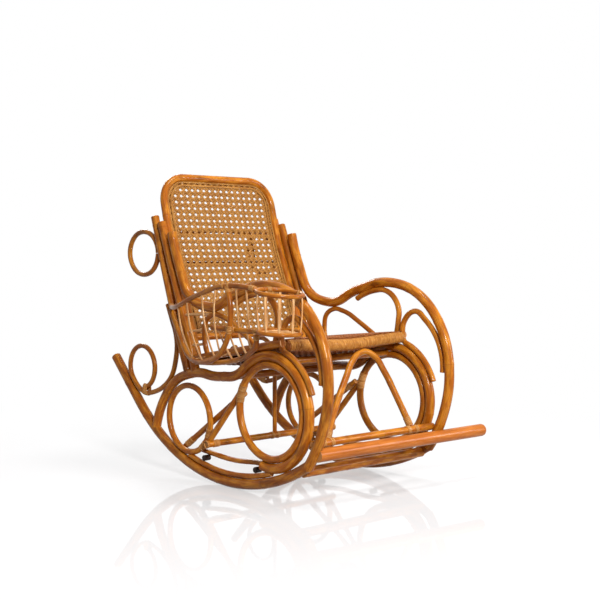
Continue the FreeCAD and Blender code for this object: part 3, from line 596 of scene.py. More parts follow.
def sweep_tree(section: Section) -> Tree:
    """Geometry nodes that sweep a section along the edges of a mesh.

    Args:
        section: Round pole or flat strip.

    Returns:
        Tree that reads the point attributes pole_radius and facing, hands on tint, and stores straight
        (the place on the straightened piece in metres) and stretch (the count of growth joints).
    """
    tree = bpy.data.node_groups.new(section.value, "GeometryNodeTree")
    tree.interface.new_socket("Geometry", in_out="INPUT", socket_type="NodeSocketGeometry")
    for name, kind in SWEEP_INPUTS.items():
        tree.interface.new_socket(name, in_out="INPUT", socket_type="NodeSocket" + kind)
    tree.interface.new_socket("Geometry", in_out="OUTPUT", socket_type="NodeSocketGeometry")
    given = add_node(tree, "NodeGroupInput").outputs
    curve = add_node(tree, "GeometryNodeMeshToCurve", None, {"Mesh": given["Geometry"]}).outputs[0]
    if section is Section.FLAT:
        curve = add_node(tree, "GeometryNodeSetCurveNormal", {"mode": "FREE"},
                         {"Curve": curve, "Normal": stored(tree, "facing", "FLOAT_VECTOR")}).outputs[0]
    length = add_node(tree, "GeometryNodeSplineParameter").outputs["Length"]
    count = calculate(tree, "DIVIDE", length, given["Joint Spacing"])
    drift_at = calculate(tree, "ADD", count, given["Seed"])
    drift = add_node(tree, "ShaderNodeTexNoise", {"noise_dimensions": "1D"},
                     {"W": drift_at, "Scale": DRIFT_SCALE, "Detail": 0.0})
    stretch = calculate(tree, "ADD", drift_at, drift.outputs[0])
    swell = remap(tree, from_joint(tree, stretch), 0.0, SWELL_REACH, given["Joint Swell"], 0.0)
    wave = add_node(tree, "ShaderNodeTexNoise", {"noise_dimensions": "1D"},
                    {"W": drift_at, "Scale": WAVE_SCALE, "Detail": 1.0})
    uneven = calculate(tree, "SUBTRACT", wave.outputs[0], 0.5)
    swollen = calculate(tree, "MULTIPLY_ADD", uneven, given["Unevenness"], swell)
    radius = stored(tree, "pole_radius")
    scale = calculate(tree, "MULTIPLY_ADD", radius, swollen, radius)
    along = calculate(tree, "ADD", length, given["Seed"])
    curve = store(tree, store(tree, curve, "along", along), "stretch", stretch)
    outline = add_node(tree, "GeometryNodeCurvePrimitiveCircle", None,
                       {"Resolution": given["Sides"], "Radius": 1.0}).outputs[0]
    if section is Section.FLAT:
        flat = add_node(tree, "ShaderNodeCombineXYZ", None, {0: given["Thickness Share"], 1: 1.0, 2: 1.0})
        outline = add_node(tree, "GeometryNodeTransform", None,
                           {"Geometry": outline, "Scale": flat.outputs[0]}).outputs[0]
    factor = add_node(tree, "GeometryNodeSplineParameter").outputs["Factor"]
    turn = calculate(tree, "MULTIPLY", factor, math.tau)
    outline = store(tree, outline, "turn", turn)
    mesh = add_node(tree, "GeometryNodeCurveToMesh", None,
                    {"Curve": curve, "Profile Curve": outline, "Scale": scale, "Fill Caps": True}).outputs[0]
    turned, wide = stored(tree, "turn"), stored(tree, "pole_radius")
    sides = [calculate(tree, "MULTIPLY", calculate(tree, way, turned), wide) for way in ("COSINE", "SINE")]
    straight = add_node(tree, "ShaderNodeCombineXYZ", None,
                        {0: sides[0], 1: sides[1], 2: stored(tree, "along")})
    mesh = store(tree, mesh, "straight", straight.outputs[0], "FLOAT_VECTOR")
    corners = add_node(tree, "GeometryNodeInputMeshFaceNeighbors").outputs["Vertex Count"]
    cut = add_node(tree, "FunctionNodeCompare", {"data_type": "INT", "operation": "GREATER_THAN"},
                   {2: corners, 3: 4}).outputs[0]
    skin = add_node(tree, "FunctionNodeBooleanMath", {"operation": "NOT"}, {0: cut}).outputs[0]
    mesh = add_node(tree, "GeometryNodeSetShadeSmooth", {"domain": "FACE"},
                    {"Geometry": mesh, "Shade Smooth": skin}).outputs[0]
    mesh = add_node(tree, "GeometryNodeRealizeInstances", None, {"Geometry": mesh}).outputs[0]
    mesh = add_node(tree, "GeometryNodeSetMaterial", None,
                    {"Geometry": mesh, "Material": given["Skin"]}).outputs[0]
    mesh = add_node(tree, "GeometryNodeSetMaterial", None,
                    {"Geometry": mesh, "Selection": cut, "Material": given["Cut End"]}).outputs[0]
    add_node(tree, "NodeGroupOutput", None, {"Geometry": mesh})
    return tree


class Bench:
    """Where poles and strips are swept: the two trees, and each finish as it is first asked for."""

    def __init__(self) -> None:
        """Make the trees."""
        self.trees = {section: sweep_tree(section) for section in Section}
        self.materials: dict[str, bpy.types.Material] = {}

    def material(self, finish: CaneFinish | EndGrainFinish) -> bpy.types.Material:
        """Material of a finish, made once.

        Args:
            finish: The finish.

        Returns:
            Its material.
        """
        if finish.name not in self.materials:
            self.materials[finish.name] = finish.material()
        return self.materials[finish.name]

    def sweep(self, name: str, poles: Sequence[Pole], finish: CaneFinish, slot: Slot,
              nodes: Sequence[str] = (), section: Section = Section.ROUND, sides: int = 18,
              thickness: float = 1.0, swell: float = 0.04, unevenness: float = 0.05,
              cut: CaneFinish | EndGrainFinish = SAWN_END) -> bpy.types.Object:
        """Sweep poles or strips into one piece that rides with the chair.

        Args:
            name: Name of the piece.
            poles: The poles or strips.
            finish: Finish of their skin.
            slot: Material slot of the record; not used.
            nodes: Nodes of the part that the piece stands for.
            section: Round pole or flat strip.
            sides: Sides of the section.
            thickness: Thickness of a flat strip as a share of its width.
            swell: Swelling at the growth joints as a share of the radius.
            unevenness: Slow change of thickness as a share of the radius.
            cut: Finish of the cut ends.

        Returns:
            The finished piece.
        """
        piece = new_object(name, self._lay_out(name, poles))
        modifier = piece.modifiers.new("sweep", "NODES")
        tree = self.trees[section]
        modifier.node_group = tree
        values = {"Sides": sides, "Joint Spacing": POLE_JOINT_SPACING * MM, "Joint Swell": swell,
                  "Unevenness": unevenness, "Thickness Share": thickness, "Seed": 7 * number_for(name),
                  "Skin": self.material(finish), "Cut End": self.material(cut)}
        for item in tree.interface.items_tree:
            if item.in_out == "INPUT" and item.name in values:
                modifier[item.identifier] = values[item.name]
        graph = bpy.context.evaluated_depsgraph_get()
        mesh = bpy.data.meshes.new_from_object(piece.evaluated_get(graph), preserve_all_data_layers=True,
                                               depsgraph=graph)
        laid_out = piece.data
        piece.modifiers.clear()
        piece.data = mesh
        bpy.data.meshes.remove(laid_out)
        mesh.name = name
        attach(piece, "root")
        if nodes:
            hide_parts(*nodes)
        LOG.info("%s: %d faces", name, len(mesh.polygons))
        return piece

    def _lay_out(self, name: str, poles: Sequence[Pole]) -> bpy.types.Mesh:
        """Mesh of edges along the poles, in metres, with what the trees read at each point.

        Args:
            name: Name of the piece.
            poles: The poles or strips.

        Returns:
            Mesh with the attributes pole_radius, tint and facing.
        """
        points: Path = []
        edges: list[tuple[int, int]] = []
        radii: list[float] = []
        tints: list[float] = []
        facings: list[float] = []
        for index, pole in enumerate(poles):
            run, run_radii = pole.rings()
            first = len(points)
            edges += [(first + step, first + step + 1) for step in range(len(run) - 1)]
            points += [point * MM for point in run]
            radii += [radius * MM for radius in run_radii]
            tints += [number_for(f"{name} {index}")] * len(run)
            facings += [part for way in pole.facing or [ALONG_X] * len(run) for part in way]
        mesh = bpy.data.meshes.new(name + "_paths")
        mesh.from_pydata(points, edges, [])
        mesh.attributes.new("pole_radius", "FLOAT", "POINT").data.foreach_set("value", radii)
        mesh.attributes.new("tint", "FLOAT", "POINT").data.foreach_set("value", tints)
        mesh.attributes.new("facing", "FLOAT_VECTOR", "POINT").data.foreach_set("vector", facings)
        return mesh


# The chair.

@dataclass
class Rockers:
    """Sizes of what touches the floor and of the rings that stand on it, shared by the sub-assemblies."""

    runner_radius: float = 700.0
    runner_dia: float = 33.0
    inner_dia: float = 18.0
    big_ring_radius: float = 146.0
    big_ring_dia: float = 24.0
    big_ring_y: float = -188.0
    rear_ring_radius: float = 111.0
    rear_ring_dia: float = 20.0
    rear_ring_y: float = 219.0
    rail_dia: float = 32.0
    side_rail_dia: float = 26.0
    seat_back_y: float = 198.0
    seat_back_rise: float = 80.0

    @property
    def centre_z(self) -> float:
        """Height of the rocking centre."""
        return self.runner_dia / 2 + self.runner_radius

    @property
    def loop_radius(self) -> float:
        """Radius of the leg rail's loop round the big ring."""
        return self.big_ring_radius + self.big_ring_dia / 2 + self.rail_dia / 2 + FIT

    @property
    def loop_outside(self) -> float:
        """Outer radius of the leg rail's loop."""
        return self.loop_radius + self.rail_dia / 2

    @property
    def inner_radius(self) -> float:
        """Radius of the inner runner, which lies on the runner."""
        return self.runner_radius - self.runner_dia / 2 - self.inner_dia / 2 - FIT

    @property
    def big_ring(self) -> Place:
        """Centre of the big ring."""
        return self.big_ring_y, self._on_runner(self.big_ring_y, self.loop_outside)

    @property
    def rear_ring(self) -> Place:
        """Centre of the rear ring."""
        outside = self.rear_ring_radius + self.rear_ring_dia / 2
        return self.rear_ring_y, self._on_runner(self.rear_ring_y, outside)

    def _on_runner(self, y: float, outside: float) -> float:
        """Centre height of a ring with an outer radius that stands on the runner."""
        reach = self.runner_radius - self.runner_dia / 2 - FIT - outside
        return self.centre_z - math.sqrt(reach ** 2 - y ** 2)

    def at_angle(self, degrees: float, radius: float) -> Place:
        """Place on a circle about the rocking centre, at an angle from straight down to the rear."""
        return polar((0.0, self.centre_z), radius, degrees - 90.0)

    def seat_height(self, y: float) -> float:
        """Height of the seat side rails: they rest on the loops and slope down to the rear.

        Args:
            y: Place along Y.

        Returns:
            Height of their centre line.
        """
        back_z = self.rear_ring[1] + self.rear_ring_radius + self.rear_ring_dia / 2 + self.seat_back_rise
        run, rise = self.seat_back_y - self.big_ring_y, back_z - self.big_ring[1]
        apart = self.loop_outside + self.side_rail_dia / 2 + FIT
        slope = math.asin(apart / math.hypot(run, rise)) - math.atan2(rise, run)
        return back_z + (self.seat_back_y - y) * math.tan(slope)

    def inner_top(self, y: float) -> float:
        """Height of the inner runner's upper surface."""
        return self.centre_z - math.sqrt((self.inner_radius - self.inner_dia / 2) ** 2 - y ** 2)


@dataclass
class SideFrame:
    """The bent poles of one side: runner, rings, leg rail, back poles, arm and scrolls."""

    rockers: Rockers
    side: Side
    front_angle: float = 31.0
    rear_angle: float = 46.0
    tail: float = 210.0
    loop_end: float = 283.0
    loop_leave: float = 55.0
    rail_under_seat: tuple[Place, ...] = ((-30, 365), (60, 352))
    rail_over_ring: tuple[Place, ...] = ((100.6, 21.1), (56.1, 4.5), (19.5, 13.7))
    rail_foot: Place = (406, 148)
    tie_dia: float = 17.0
    tie_rear_y: float = 172.0
    tie_middle: Place = (20.0, 84.0)
    tie_front: Place = (-165.0, 89.0)
    peg_dia: float = 19.0
    peg_length: float = 26.0
    peg_proud: float = 3.0
    peg_ys: tuple[float, float] = (141.0, -116.0)
    brace_dia: float = 20.0
    short_brace: tuple[Place, ...] = ((-42, 305), (112, 137))
    long_brace: tuple[Place, ...] = ((-42, 306), (268, 98))
    upright_dia: float = 28.0
    upright: tuple[Place, ...] = ((222, 345), (318, 600), (408, 878))
    post_dia: float = 30.0
    post: tuple[Place, ...] = ((181, 352), (273, 606), (323, 734), (370, 857))
    arm_dia: float = 33.0
    arm: tuple[Place, ...] = ((311, 822), (272, 709), (213, 607), (115, 576), (-40, 627), (-150, 652),
                              (-317, 610), (-412, 500), (-443, 340), (-415, 215), (-356, 109))
    curl_dia: float = 17.0
    curl_radius: float = 73.0
    curl_on_tail: float = 77.0
    curl_clear: float = 1.0
    curl_angles: tuple[float, ...] = (-60, 0, 90, 180, 250)
    back_scroll: tuple[Place, ...] = ((337, 578), (315, 531), (293, 482), (286, 441), (291, 400), (320, 330),
                                      (360, 296), (412, 273), (462, 265))
    loop_dia: float = 17.0
    upper_loop: Place = (474.0, 751.0)
    upper_loop_radii: Place = (83.7, 74.5)
    upper_loop_angles: tuple[float, ...] = (179, 135, 90, 45, 0, -45, -90, -135, -179)
    scroll_dia: float = 19.0
    scroll: tuple[Place, ...] = ((-415, 362), (-403, 446), (-345, 527), (-295, 558), (-250, 528), (-239, 492))
    scroll_ring_angles: tuple[float, float] = (110.0, 160.0)
    hook: tuple[Place, ...] = ((-26, 592), (-112, 623), (-150, 626), (-190, 610), (-222, 560), (-219, 515),
                               (-208, 462))
    arm_loop: tuple[Place, ...] = ((112, 408), (137, 490), (130, 526), (84, 553), (43, 547), (-50, 504),
                                   (-135, 453))
    seat_front_y: float = -246.0
    ring_joint: float = 248.0
    ring_turn: float = 359.8
    dowel_dia: float = 8.0
    back_dowels: tuple[float, ...] = (690, 775)

    def plane_bend(self, places: Sequence[Place]) -> Path:
        """Bent run through places (y, z) in the middle plane of the frame."""
        return bend([in_frame(self.side, place) for place in places])

    def runner_path(self) -> Path:
        """Rocking arc and straight tail.

        Returns:
            Centre line of the runner.
        """
        centre = (0.0, self.rockers.centre_z)
        rocking = frame_arc(self.side, centre, self.rockers.runner_radius, -90 - self.front_angle,
                            self.rear_angle - 90)
        return rocking[:-1] + line(rocking[-1], rocking[-1] + heading(self.rear_angle) * self.tail)

    def inner_runner_path(self) -> Path:
        """Arc on top of the runner, run a little into the rings at both ends.

        Returns:
            Centre line of the inner runner.
        """
        sizes = self.rockers
        ends = []
        rear_outside = sizes.rear_ring_radius + sizes.rear_ring_dia / 2
        for (y, z), outside, sign in ((sizes.big_ring, sizes.loop_outside, 1),
                                      (sizes.rear_ring, rear_outside, -1)):
            reach = math.hypot(y, sizes.centre_z - z)
            cosine = (reach ** 2 + sizes.inner_radius ** 2 - outside ** 2) / (2 * reach * sizes.inner_radius)
            bearing = math.degrees(math.atan2(y, sizes.centre_z - z))
            ends.append(bearing + sign * math.degrees(math.acos(cosine)) - 90)
        return frame_arc(self.side, (0.0, sizes.centre_z), sizes.inner_radius, ends[0], ends[1])

    def leg_rail_path(self) -> Path:
        """Loop round the big ring, then back under the seat and down to the runner.

        Returns:
            Centre line of the leg rail.
        """
        sizes = self.rockers
        loop = frame_arc(self.side, sizes.big_ring, sizes.loop_radius, self.loop_end, self.loop_leave)
        leaving = heading(self.loop_leave - 90)
        on_ring = sizes.rear_ring_radius + sizes.rear_ring_dia / 2 + sizes.rail_dia / 2
        over = [polar(sizes.rear_ring, on_ring + gap, angle) for angle, gap in self.rail_over_ring]
        places = [in_frame(self.side, place) for place in (*self.rail_under_seat, *over, self.rail_foot)]
        return loop[:-1] + bend([loop[-1], *places], leaving=leaving)

    def tie_path(self) -> Path:
        """Tie bar against the inner faces of the rings, over the two pegs.

        Returns:
            Centre line of the tie bar.
        """
        sizes = self.rockers
        over_peg = self.peg_dia + self.tie_dia / 2 + 2 * FIT
        rear = sizes.rear_ring_dia / 2 + self.tie_dia / 2 + FIT
        front = sizes.rail_dia / 2 + self.tie_dia / 2 + FIT
        beside = math.sqrt(sizes.rear_ring_radius ** 2 - (sizes.rear_ring_y - self.tie_rear_y) ** 2)
        peg_rear, peg_front = [(y, sizes.inner_top(y) + over_peg) for y in self.peg_ys]
        stops = (((self.tie_rear_y, sizes.rear_ring[1] - beside), rear), (peg_rear, rear),
                 (self.tie_middle, (rear + front) / 2), (peg_front, front), (self.tie_front, front))
        return bend([in_frame(self.side, place, inset) for place, inset in stops])

    def back_scroll_path(self) -> Path:
        """S down from the rear upright into the curl on the runner's tail.

        Returns:
            Centre line of the back scroll.
        """
        sizes = self.rockers
        corner = sizes.at_angle(self.rear_angle, sizes.runner_radius)
        along = polar((0, 0), 1.0, self.rear_angle)
        square = polar((0, 0), 1.0, self.rear_angle + 90)
        off = self.curl_radius + self.curl_dia / 2 + sizes.runner_dia / 2 + self.curl_clear
        centre = (corner[0] + along[0] * self.curl_on_tail + square[0] * off,
                  corner[1] + along[1] * self.curl_on_tail + square[1] * off)
        curl = [polar(centre, self.curl_radius, angle) for angle in self.curl_angles]
        return self.plane_bend([*self.back_scroll, *curl])

    def front_scroll_path(self) -> Path:
        """S from the front post over the seat corner, then along the outside of the leg rail's loop.

        Returns:
            Centre line of the front scroll.
        """
        sizes = self.rockers
        radius = sizes.loop_outside + self.scroll_dia / 2 + FIT
        start, end = self.scroll_ring_angles
        on_ring = frame_arc(self.side, sizes.big_ring, radius, start, end)
        arriving = heading(start + 90)
        places = [in_frame(self.side, place) for place in self.scroll] + [on_ring[0]]
        return bend(places, arriving=arriving)[:-1] + on_ring

    def upper_loop_path(self) -> Path:
        """Oval loop behind the rear upright.

        Returns:
            Centre line of the loop.
        """
        (y, z), (along_y, along_z) = self.upper_loop, self.upper_loop_radii
        turns = [math.radians(degrees) for degrees in self.upper_loop_angles]
        return self.plane_bend([(y + along_y * math.cos(turn), z + along_z * math.sin(turn))
                                for turn in turns])

    def side_rail_path(self) -> Path:
        """Seat side rail from the front scroll to the back post."""
        ends = (self.seat_front_y, self.rockers.seat_back_y)
        return line(*[in_frame(self.side, (y, self.rockers.seat_height(y))) for y in ends])

    def long_brace_path(self) -> Path:
        """Brace along the inner faces of both rings.

        Returns:
            Centre line of the brace.
        """
        insets = [dia / 2 + self.brace_dia / 2 + FIT for dia in (self.rockers.big_ring_dia,
                                                                 self.rockers.rear_ring_dia)]
        ends = [in_frame(self.side, place, inset) for place, inset in zip(self.long_brace, insets)]
        return line(*ends)

    def pegs(self) -> list[Pole]:
        """Dark pegs between the inner runner and the tie bar.

        Returns:
            The two pegs.
        """
        pegs = []
        for y in self.peg_ys:
            place = (y, self.rockers.inner_top(y) + self.peg_dia / 2 + FIT)
            outer = in_frame(self.side, place, -self.peg_proud)
            inner = in_frame(self.side, place, self.peg_length - self.peg_proud)
            pegs.append(Pole(line(outer, inner), self.peg_dia, End.FREE, End.FREE, 2.5))
        return pegs

    def dowels(self) -> list[Pole]:
        """Small dowels that hold the three poles of the back together.

        Returns:
            The dowels.
        """
        arm, post, upright = [self.plane_bend(places) for places in (self.arm, self.post, self.upright)]
        dowels = []
        for z in self.back_dowels:
            start = level_with(post, "z", z)
            for other in (arm, upright):
                end = nearest(other, start)
                dowels.append(Pole(line(start, end), self.dowel_dia))
        return dowels

    def build(self, bench: Bench) -> None:
        """Sweep every pole of the frame.

        Args:
            bench: Where they are swept.
        """
        sizes = self.rockers
        name = self.side.name.lower()
        joint = self.ring_joint
        free, held = End.FREE, End.HELD
        turned = joint - self.ring_turn
        big_ring = frame_arc(self.side, sizes.big_ring, sizes.big_ring_radius, joint, turned)
        rear_ring = frame_arc(self.side, sizes.rear_ring, sizes.rear_ring_radius, joint, turned)
        poles = {
            "runner": Pole(self.runner_path(), sizes.runner_dia, free, free),
            "inner_runner": Pole(self.inner_runner_path(), sizes.inner_dia),
            "leg_rail": Pole(self.leg_rail_path(), sizes.rail_dia, free, held),
            "big_ring": Pole(big_ring, sizes.big_ring_dia, free, free, 0.8),
            "rear_ring": Pole(rear_ring, sizes.rear_ring_dia, free, free, 0.8),
            "tie_bar": Pole(self.tie_path(), self.tie_dia, free, free, 2.0),
            "rear_upright": Pole(self.plane_bend(self.upright), self.upright_dia, held, free),
            "back_scroll": Pole(self.back_scroll_path(), self.curl_dia, free, free, 2.0),
            "upper_loop": Pole(self.upper_loop_path(), self.loop_dia),
            "back_post": Pole(self.plane_bend(self.post), self.post_dia, held, free),
            "arm_pole": Pole(self.plane_bend(self.arm), self.arm_dia, free, held),
            "front_scroll": Pole(self.front_scroll_path(), self.scroll_dia, free, free, 2.0),
            "arm_hook": Pole(self.plane_bend(self.hook), self.scroll_dia, free, held, 2.0),
            "arm_loop": Pole(self.plane_bend(self.arm_loop), self.loop_dia),
            "seat_side_rail": Pole(self.side_rail_path(), sizes.side_rail_dia),
            "short_brace": Pole(self.plane_bend(self.short_brace), self.brace_dia),
            "long_brace": Pole(self.long_brace_path(), self.brace_dia, free, free, 2.0),
        }
        for piece, pole in poles.items():
            bench.sweep(f"rattan_{piece}_{name}", [pole], VARNISHED_RATTAN, Slot.POLE, [f"{piece}_{name}"])


@dataclass
class CrossBars:
    """Bars that join the two side frames below the seat."""

    rockers: Rockers
    end_gap: float = 7.0
    under_seat_dia: float = 24.0
    under_seat: Place = (0.0, 357.0)
    ring_bar_dia: float = 22.0
    ring_bar: Place = (-175.0, 412.0)
    front_dia: float = 24.0
    front: Place = (-374.0, 182.0)
    bottom_dia: float = 32.0
    bottom: Place = (-330.0, 92.0)
    rear_dia: float = 22.0
    rear_angle: float = 213.0
    rear_overhang: float = 14.0
    foot_dia: float = 41.0
    foot_right: Place = (-398.0, 152.0)
    foot_free: Place = (-445.0, 160.0)
    foot_reach: float = 177.0
    foot_round: float = 13.0

    @property
    def rear(self) -> Place:
        """Place of the rear stretcher, against the outside of the rear rings.

        Returns:
            The place (y, z).
        """
        sizes = self.rockers
        off = sizes.rear_ring_radius + sizes.rear_ring_dia / 2 + self.rear_dia / 2 + FIT
        return polar(sizes.rear_ring, off, self.rear_angle)

    def across(self, place: Place, end_x: float) -> Path:
        """Straight run along X at a place (y, z)."""
        return line(Vector((-end_x, *place)), Vector((end_x, *place)))

    def build(self, bench: Bench) -> None:
        """Sweep the bars.

        Args:
            bench: Where they are swept.
        """
        inside = FRAME_X - self.end_gap
        outside = FRAME_X + self.rear_overhang
        free = End.FREE
        bars = {
            "under_seat_bar": Pole(self.across(self.under_seat, inside), self.under_seat_dia),
            "ring_bar": Pole(self.across(self.ring_bar, inside), self.ring_bar_dia),
            "front_stretcher": Pole(self.across(self.front, FRAME_X), self.front_dia, free, free),
            "bottom_crossbar": Pole(self.across(self.bottom, inside), self.bottom_dia),
            "rear_stretcher": Pole(self.across(self.rear, outside), self.rear_dia, free, free),
        }
        for name, pole in bars.items():
            bench.sweep(f"rattan_{name}", [pole], VARNISHED_RATTAN, Slot.POLE, [name])
        foot = line(in_frame(Side.RIGHT, self.foot_right),
                    in_frame(Side.LEFT, self.foot_free, -self.foot_reach))
        foot_bar = Pole(foot, self.foot_dia, End.HELD, free, self.foot_round)
        bench.sweep("sanded_foot_bar", [foot_bar], SANDED_POLE, Slot.FOOT, ["foot_bar"], sides=28, swell=0.0,
                    unevenness=0.015)


@dataclass
class Seat:
    """Seat rails, the woven seat, and the bearer, brace and hairpin under it."""

    rockers: Rockers
    bars: CrossBars
    front_y: float = -246.0
    front_dia: float = 37.0
    front_z: float = 459.0
    front_sag: float = 10.0
    rear_dia: float = 26.0
    weave_raise: float = 6.0
    weave_thickness: float = 5.0
    bearer_dia: float = 20.0
    brace_dia: float = 15.0
    brace_x: float = 8.0
    hairpin_dia: float = 21.0
    hairpin: tuple[Place, ...] = ((-214, 0.0), (-122, 0.42), (-50, 0.70), (5, 0.90), (45, 0.985), (80, 1.0),
                                  (112, 0.93), (135, 0.72), (150, 0.45), (170, 0.0))
    hairpin_under_rail: float = 20.0
    winding_width: float = 6.6
    winding_steps: int = 18
    winding_thickness: float = 3.4
    core_inset: float = 0.8
    warp_pitch: float = 6.4
    warp_width: float = 5.9
    weft_pitch: float = 7.6
    weft_width: float = 6.6
    reed_thickness: float = 1.3
    ride_over: float = 0.75
    dip_length: float = 70.0
    crown: float = 14.0
    lower_pitch: float = 13.0
    lower_overlap: float = 1.12
    lower_edge: float = 8.0
    lower_sag: float = 24.0
    warp_forward: float = 6.0
    warp_under: float = 4.0
    weft_end_gap: float = 4.0

    def front_path(self) -> Path:
        """Front rail from side rail to side rail, a little lower in the middle.

        Returns:
            Centre line of the rail.
        """
        end_x = FRAME_X - self.rockers.side_rail_dia / 2 - FIT
        stops = ((-end_x, self.front_sag), (0.0, 0.0), (end_x, self.front_sag))
        return bend([Vector((x, self.front_y, self.front_z + rise)) for x, rise in stops], ALONG_X, ALONG_X)

    def winding(self) -> Pole:
        """Peel wound side by side round the front rail.

        Returns:
            One strip, turn after turn.
        """
        axis = self.front_path()
        turns = math.floor((axis[-1].x - axis[0].x) / self.winding_width) - 1
        off = (self.front_dia - self.winding_thickness) / 2
        path: Path = []
        facing: list[Vector] = []
        for step in range(self.winding_steps * turns + 1):
            x = axis[0].x + self.winding_width * (step / self.winding_steps + 1)
            way = heading(360 / self.winding_steps * step)
            path.append(Vector((x, self.front_y, self.front_height(x))) + way * off)
            facing.append(way)
        return Pole(path, self.winding_width, facing=facing)

    def front_height(self, x: float) -> float:
        """Height of the front rail's centre line at a place across."""
        share = min(1.0, abs(x) / (FRAME_X - self.rockers.side_rail_dia / 2))
        return self.front_z + self.front_sag * share * share * (3 - 2 * share)

    def hairpin_path(self) -> Path:
        """Hairpin from the front stretcher up under the front rail, in a slanting plane.

        Returns:
            Centre line of the hairpin.
        """
        under = self.front_dia / 2 + self.hairpin_dia / 2 + FIT
        angle = math.radians(self.hairpin_under_rail)
        crown = (self.front_y - under * math.sin(angle), self.front_z - under * math.cos(angle))
        foot = Vector((0, *self.bars.front))
        rise = Vector((0, *crown)) - foot
        return bend([foot + rise * share + ALONG_X * x for x, share in self.hairpin])

    def surface(self, x: float, y: float) -> float:
        """Height of the woven seat: level with the rails' tops at the edges, full behind the front one.

        Args:
            x: Place across.
            y: Place along Y.

        Returns:
            Height of the middle of the weave.
        """
        plane = self.rockers.seat_height(y) + self.weave_raise
        back_y = self.rockers.seat_back_y
        front_top = self.front_height(x) + self.front_dia / 2 + self.reed_thickness / 2
        rear_top = self.rockers.seat_height(back_y) + self.rear_dia / 2 + self.reed_thickness / 2
        rise = 0.0
        for edge, top in ((self.front_y, front_top), (back_y, rear_top)):
            share = max(0.0, 1 - abs(y - edge) / self.dip_length)
            at_edge = self.rockers.seat_height(edge) + self.weave_raise
            rise += share * share * (3 - 2 * share) * (top - at_edge)
        depth = (y - self.front_y) / (back_y - self.front_y)
        fullness = self.crown * (1 - (x / FRAME_X) ** 4) * math.sin(math.pi * depth ** 0.55)
        return plane + rise + fullness

    def underside(self, x: float, y: float) -> float:
        """Height of the lower layer of the weave, which hangs between the undersides of the rails.

        Args:
            x: Place across.
            y: Place along Y.

        Returns:
            Height of the middle of that layer.
        """
        back_y = self.rockers.seat_back_y
        share = (y - self.front_y) / (back_y - self.front_y)
        front = self.front_height(x) - self.front_dia / 2
        rear = self.rockers.seat_height(back_y) - self.rear_dia / 2
        middle = front + (rear - front) * share - self.lower_sag * math.sin(math.pi * share ** 1.5)
        edge = self.rockers.seat_height(y) - self.rockers.side_rail_dia / 2
        return middle + (edge - middle) * (x / FRAME_X) ** 8

    def lower_layer(self) -> list[Pole]:
        """Strips of the lower layer, over one and under one.

        Returns:
            The strips that run front to back, then those that run across.
        """
        depth, end_x = self.rockers.seat_back_y - self.front_y, FRAME_X - self.lower_edge
        rows, columns = round(depth / self.lower_pitch), round(2 * end_x / self.lower_pitch)
        ys = [self.front_y + depth * row / rows for row in range(rows + 1)]
        xs = [end_x * (2 * column / columns - 1) for column in range(columns + 1)]
        grid = [[Vector((x, y, self.underside(x, y))) for y in ys] for x in xs]
        ride = UP * self.ride_over
        runs = [[place + ride * (-1) ** (row + column) for row, place in enumerate(run)]
                for column, run in enumerate(grid)]
        runs += [[grid[column][row] - ride * (-1) ** (row + column) for column in range(columns + 1)]
                 for row in range(rows + 1)]
        width = self.lower_overlap * self.lower_pitch
        return [Pole(run, width, facing=[-UP] * len(run)) for run in runs]

    def weft_rows(self) -> list[float]:
        """Places along Y of the strips that run across."""
        count = round((self.rockers.seat_back_y - self.front_y - self.rear_dia / 2) / self.weft_pitch)
        return [self.front_y + self.weft_pitch * (index + 0.5) for index in range(count)]

    def warp_columns(self) -> list[float]:
        """Places along X of the strips that run front to back.

        Returns:
            The places, from right to left.
        """
        half = FRAME_X - self.rockers.side_rail_dia / 2 - self.warp_width / 2
        count = math.floor(2 * half / self.warp_pitch)
        return [(index - count / 2) * self.warp_pitch for index in range(count + 1)]

    def over(self, row: int, column: int) -> int:
        """One where the strip across lies on top, minus one where it lies below: a two-by-two twill."""
        return 1 if (row + column) % 4 < 2 else -1

    def warp(self) -> list[Pole]:
        """Strips from the rear rail over the seat and down into the winding of the front rail.

        Returns:
            The strips.
        """
        rows = self.weft_rows()
        back_y = self.rockers.seat_back_y
        rear_round = self.rear_dia / 2 + self.reed_thickness / 2
        strips = []
        for column, x in enumerate(self.warp_columns()):
            path: Path = []
            facing: list[Vector] = []
            rear = Vector((x, back_y, self.rockers.seat_height(back_y)))
            for degrees in (-80, -45, -10, 20, 50, 80):
                way = heading(degrees)
                path.append(rear + way * rear_round)
                facing.append(way)
            for row in reversed(range(len(rows))):
                y = rows[row]
                path.append(Vector((x, y, self.surface(x, y) - self.over(row, column) * self.ride_over)))
                facing.append(UP)
            end_z = self.front_height(x) + self.front_dia / 2 - self.warp_under
            path.append(Vector((x, self.front_y - self.warp_forward, end_z)))
            facing.append(UP)
            strips.append(Pole(path, self.warp_width, facing=facing))
        return strips

    def weft(self) -> list[Pole]:
        """Strips across the seat, from side rail to side rail.

        Returns:
            The strips.
        """
        columns = self.warp_columns()
        end_x = FRAME_X - self.weft_end_gap
        strips = []
        for row, y in enumerate(self.weft_rows()):
            path = [Vector((-end_x, y, self.surface(end_x, y)))]
            path += [Vector((x, y, self.surface(x, y) + self.over(row, column) * self.ride_over))
                     for column, x in enumerate(columns)]
            path.append(Vector((end_x, y, self.surface(end_x, y))))
            strips.append(Pole(path, self.weft_width, facing=[UP] * len(path)))
        return strips

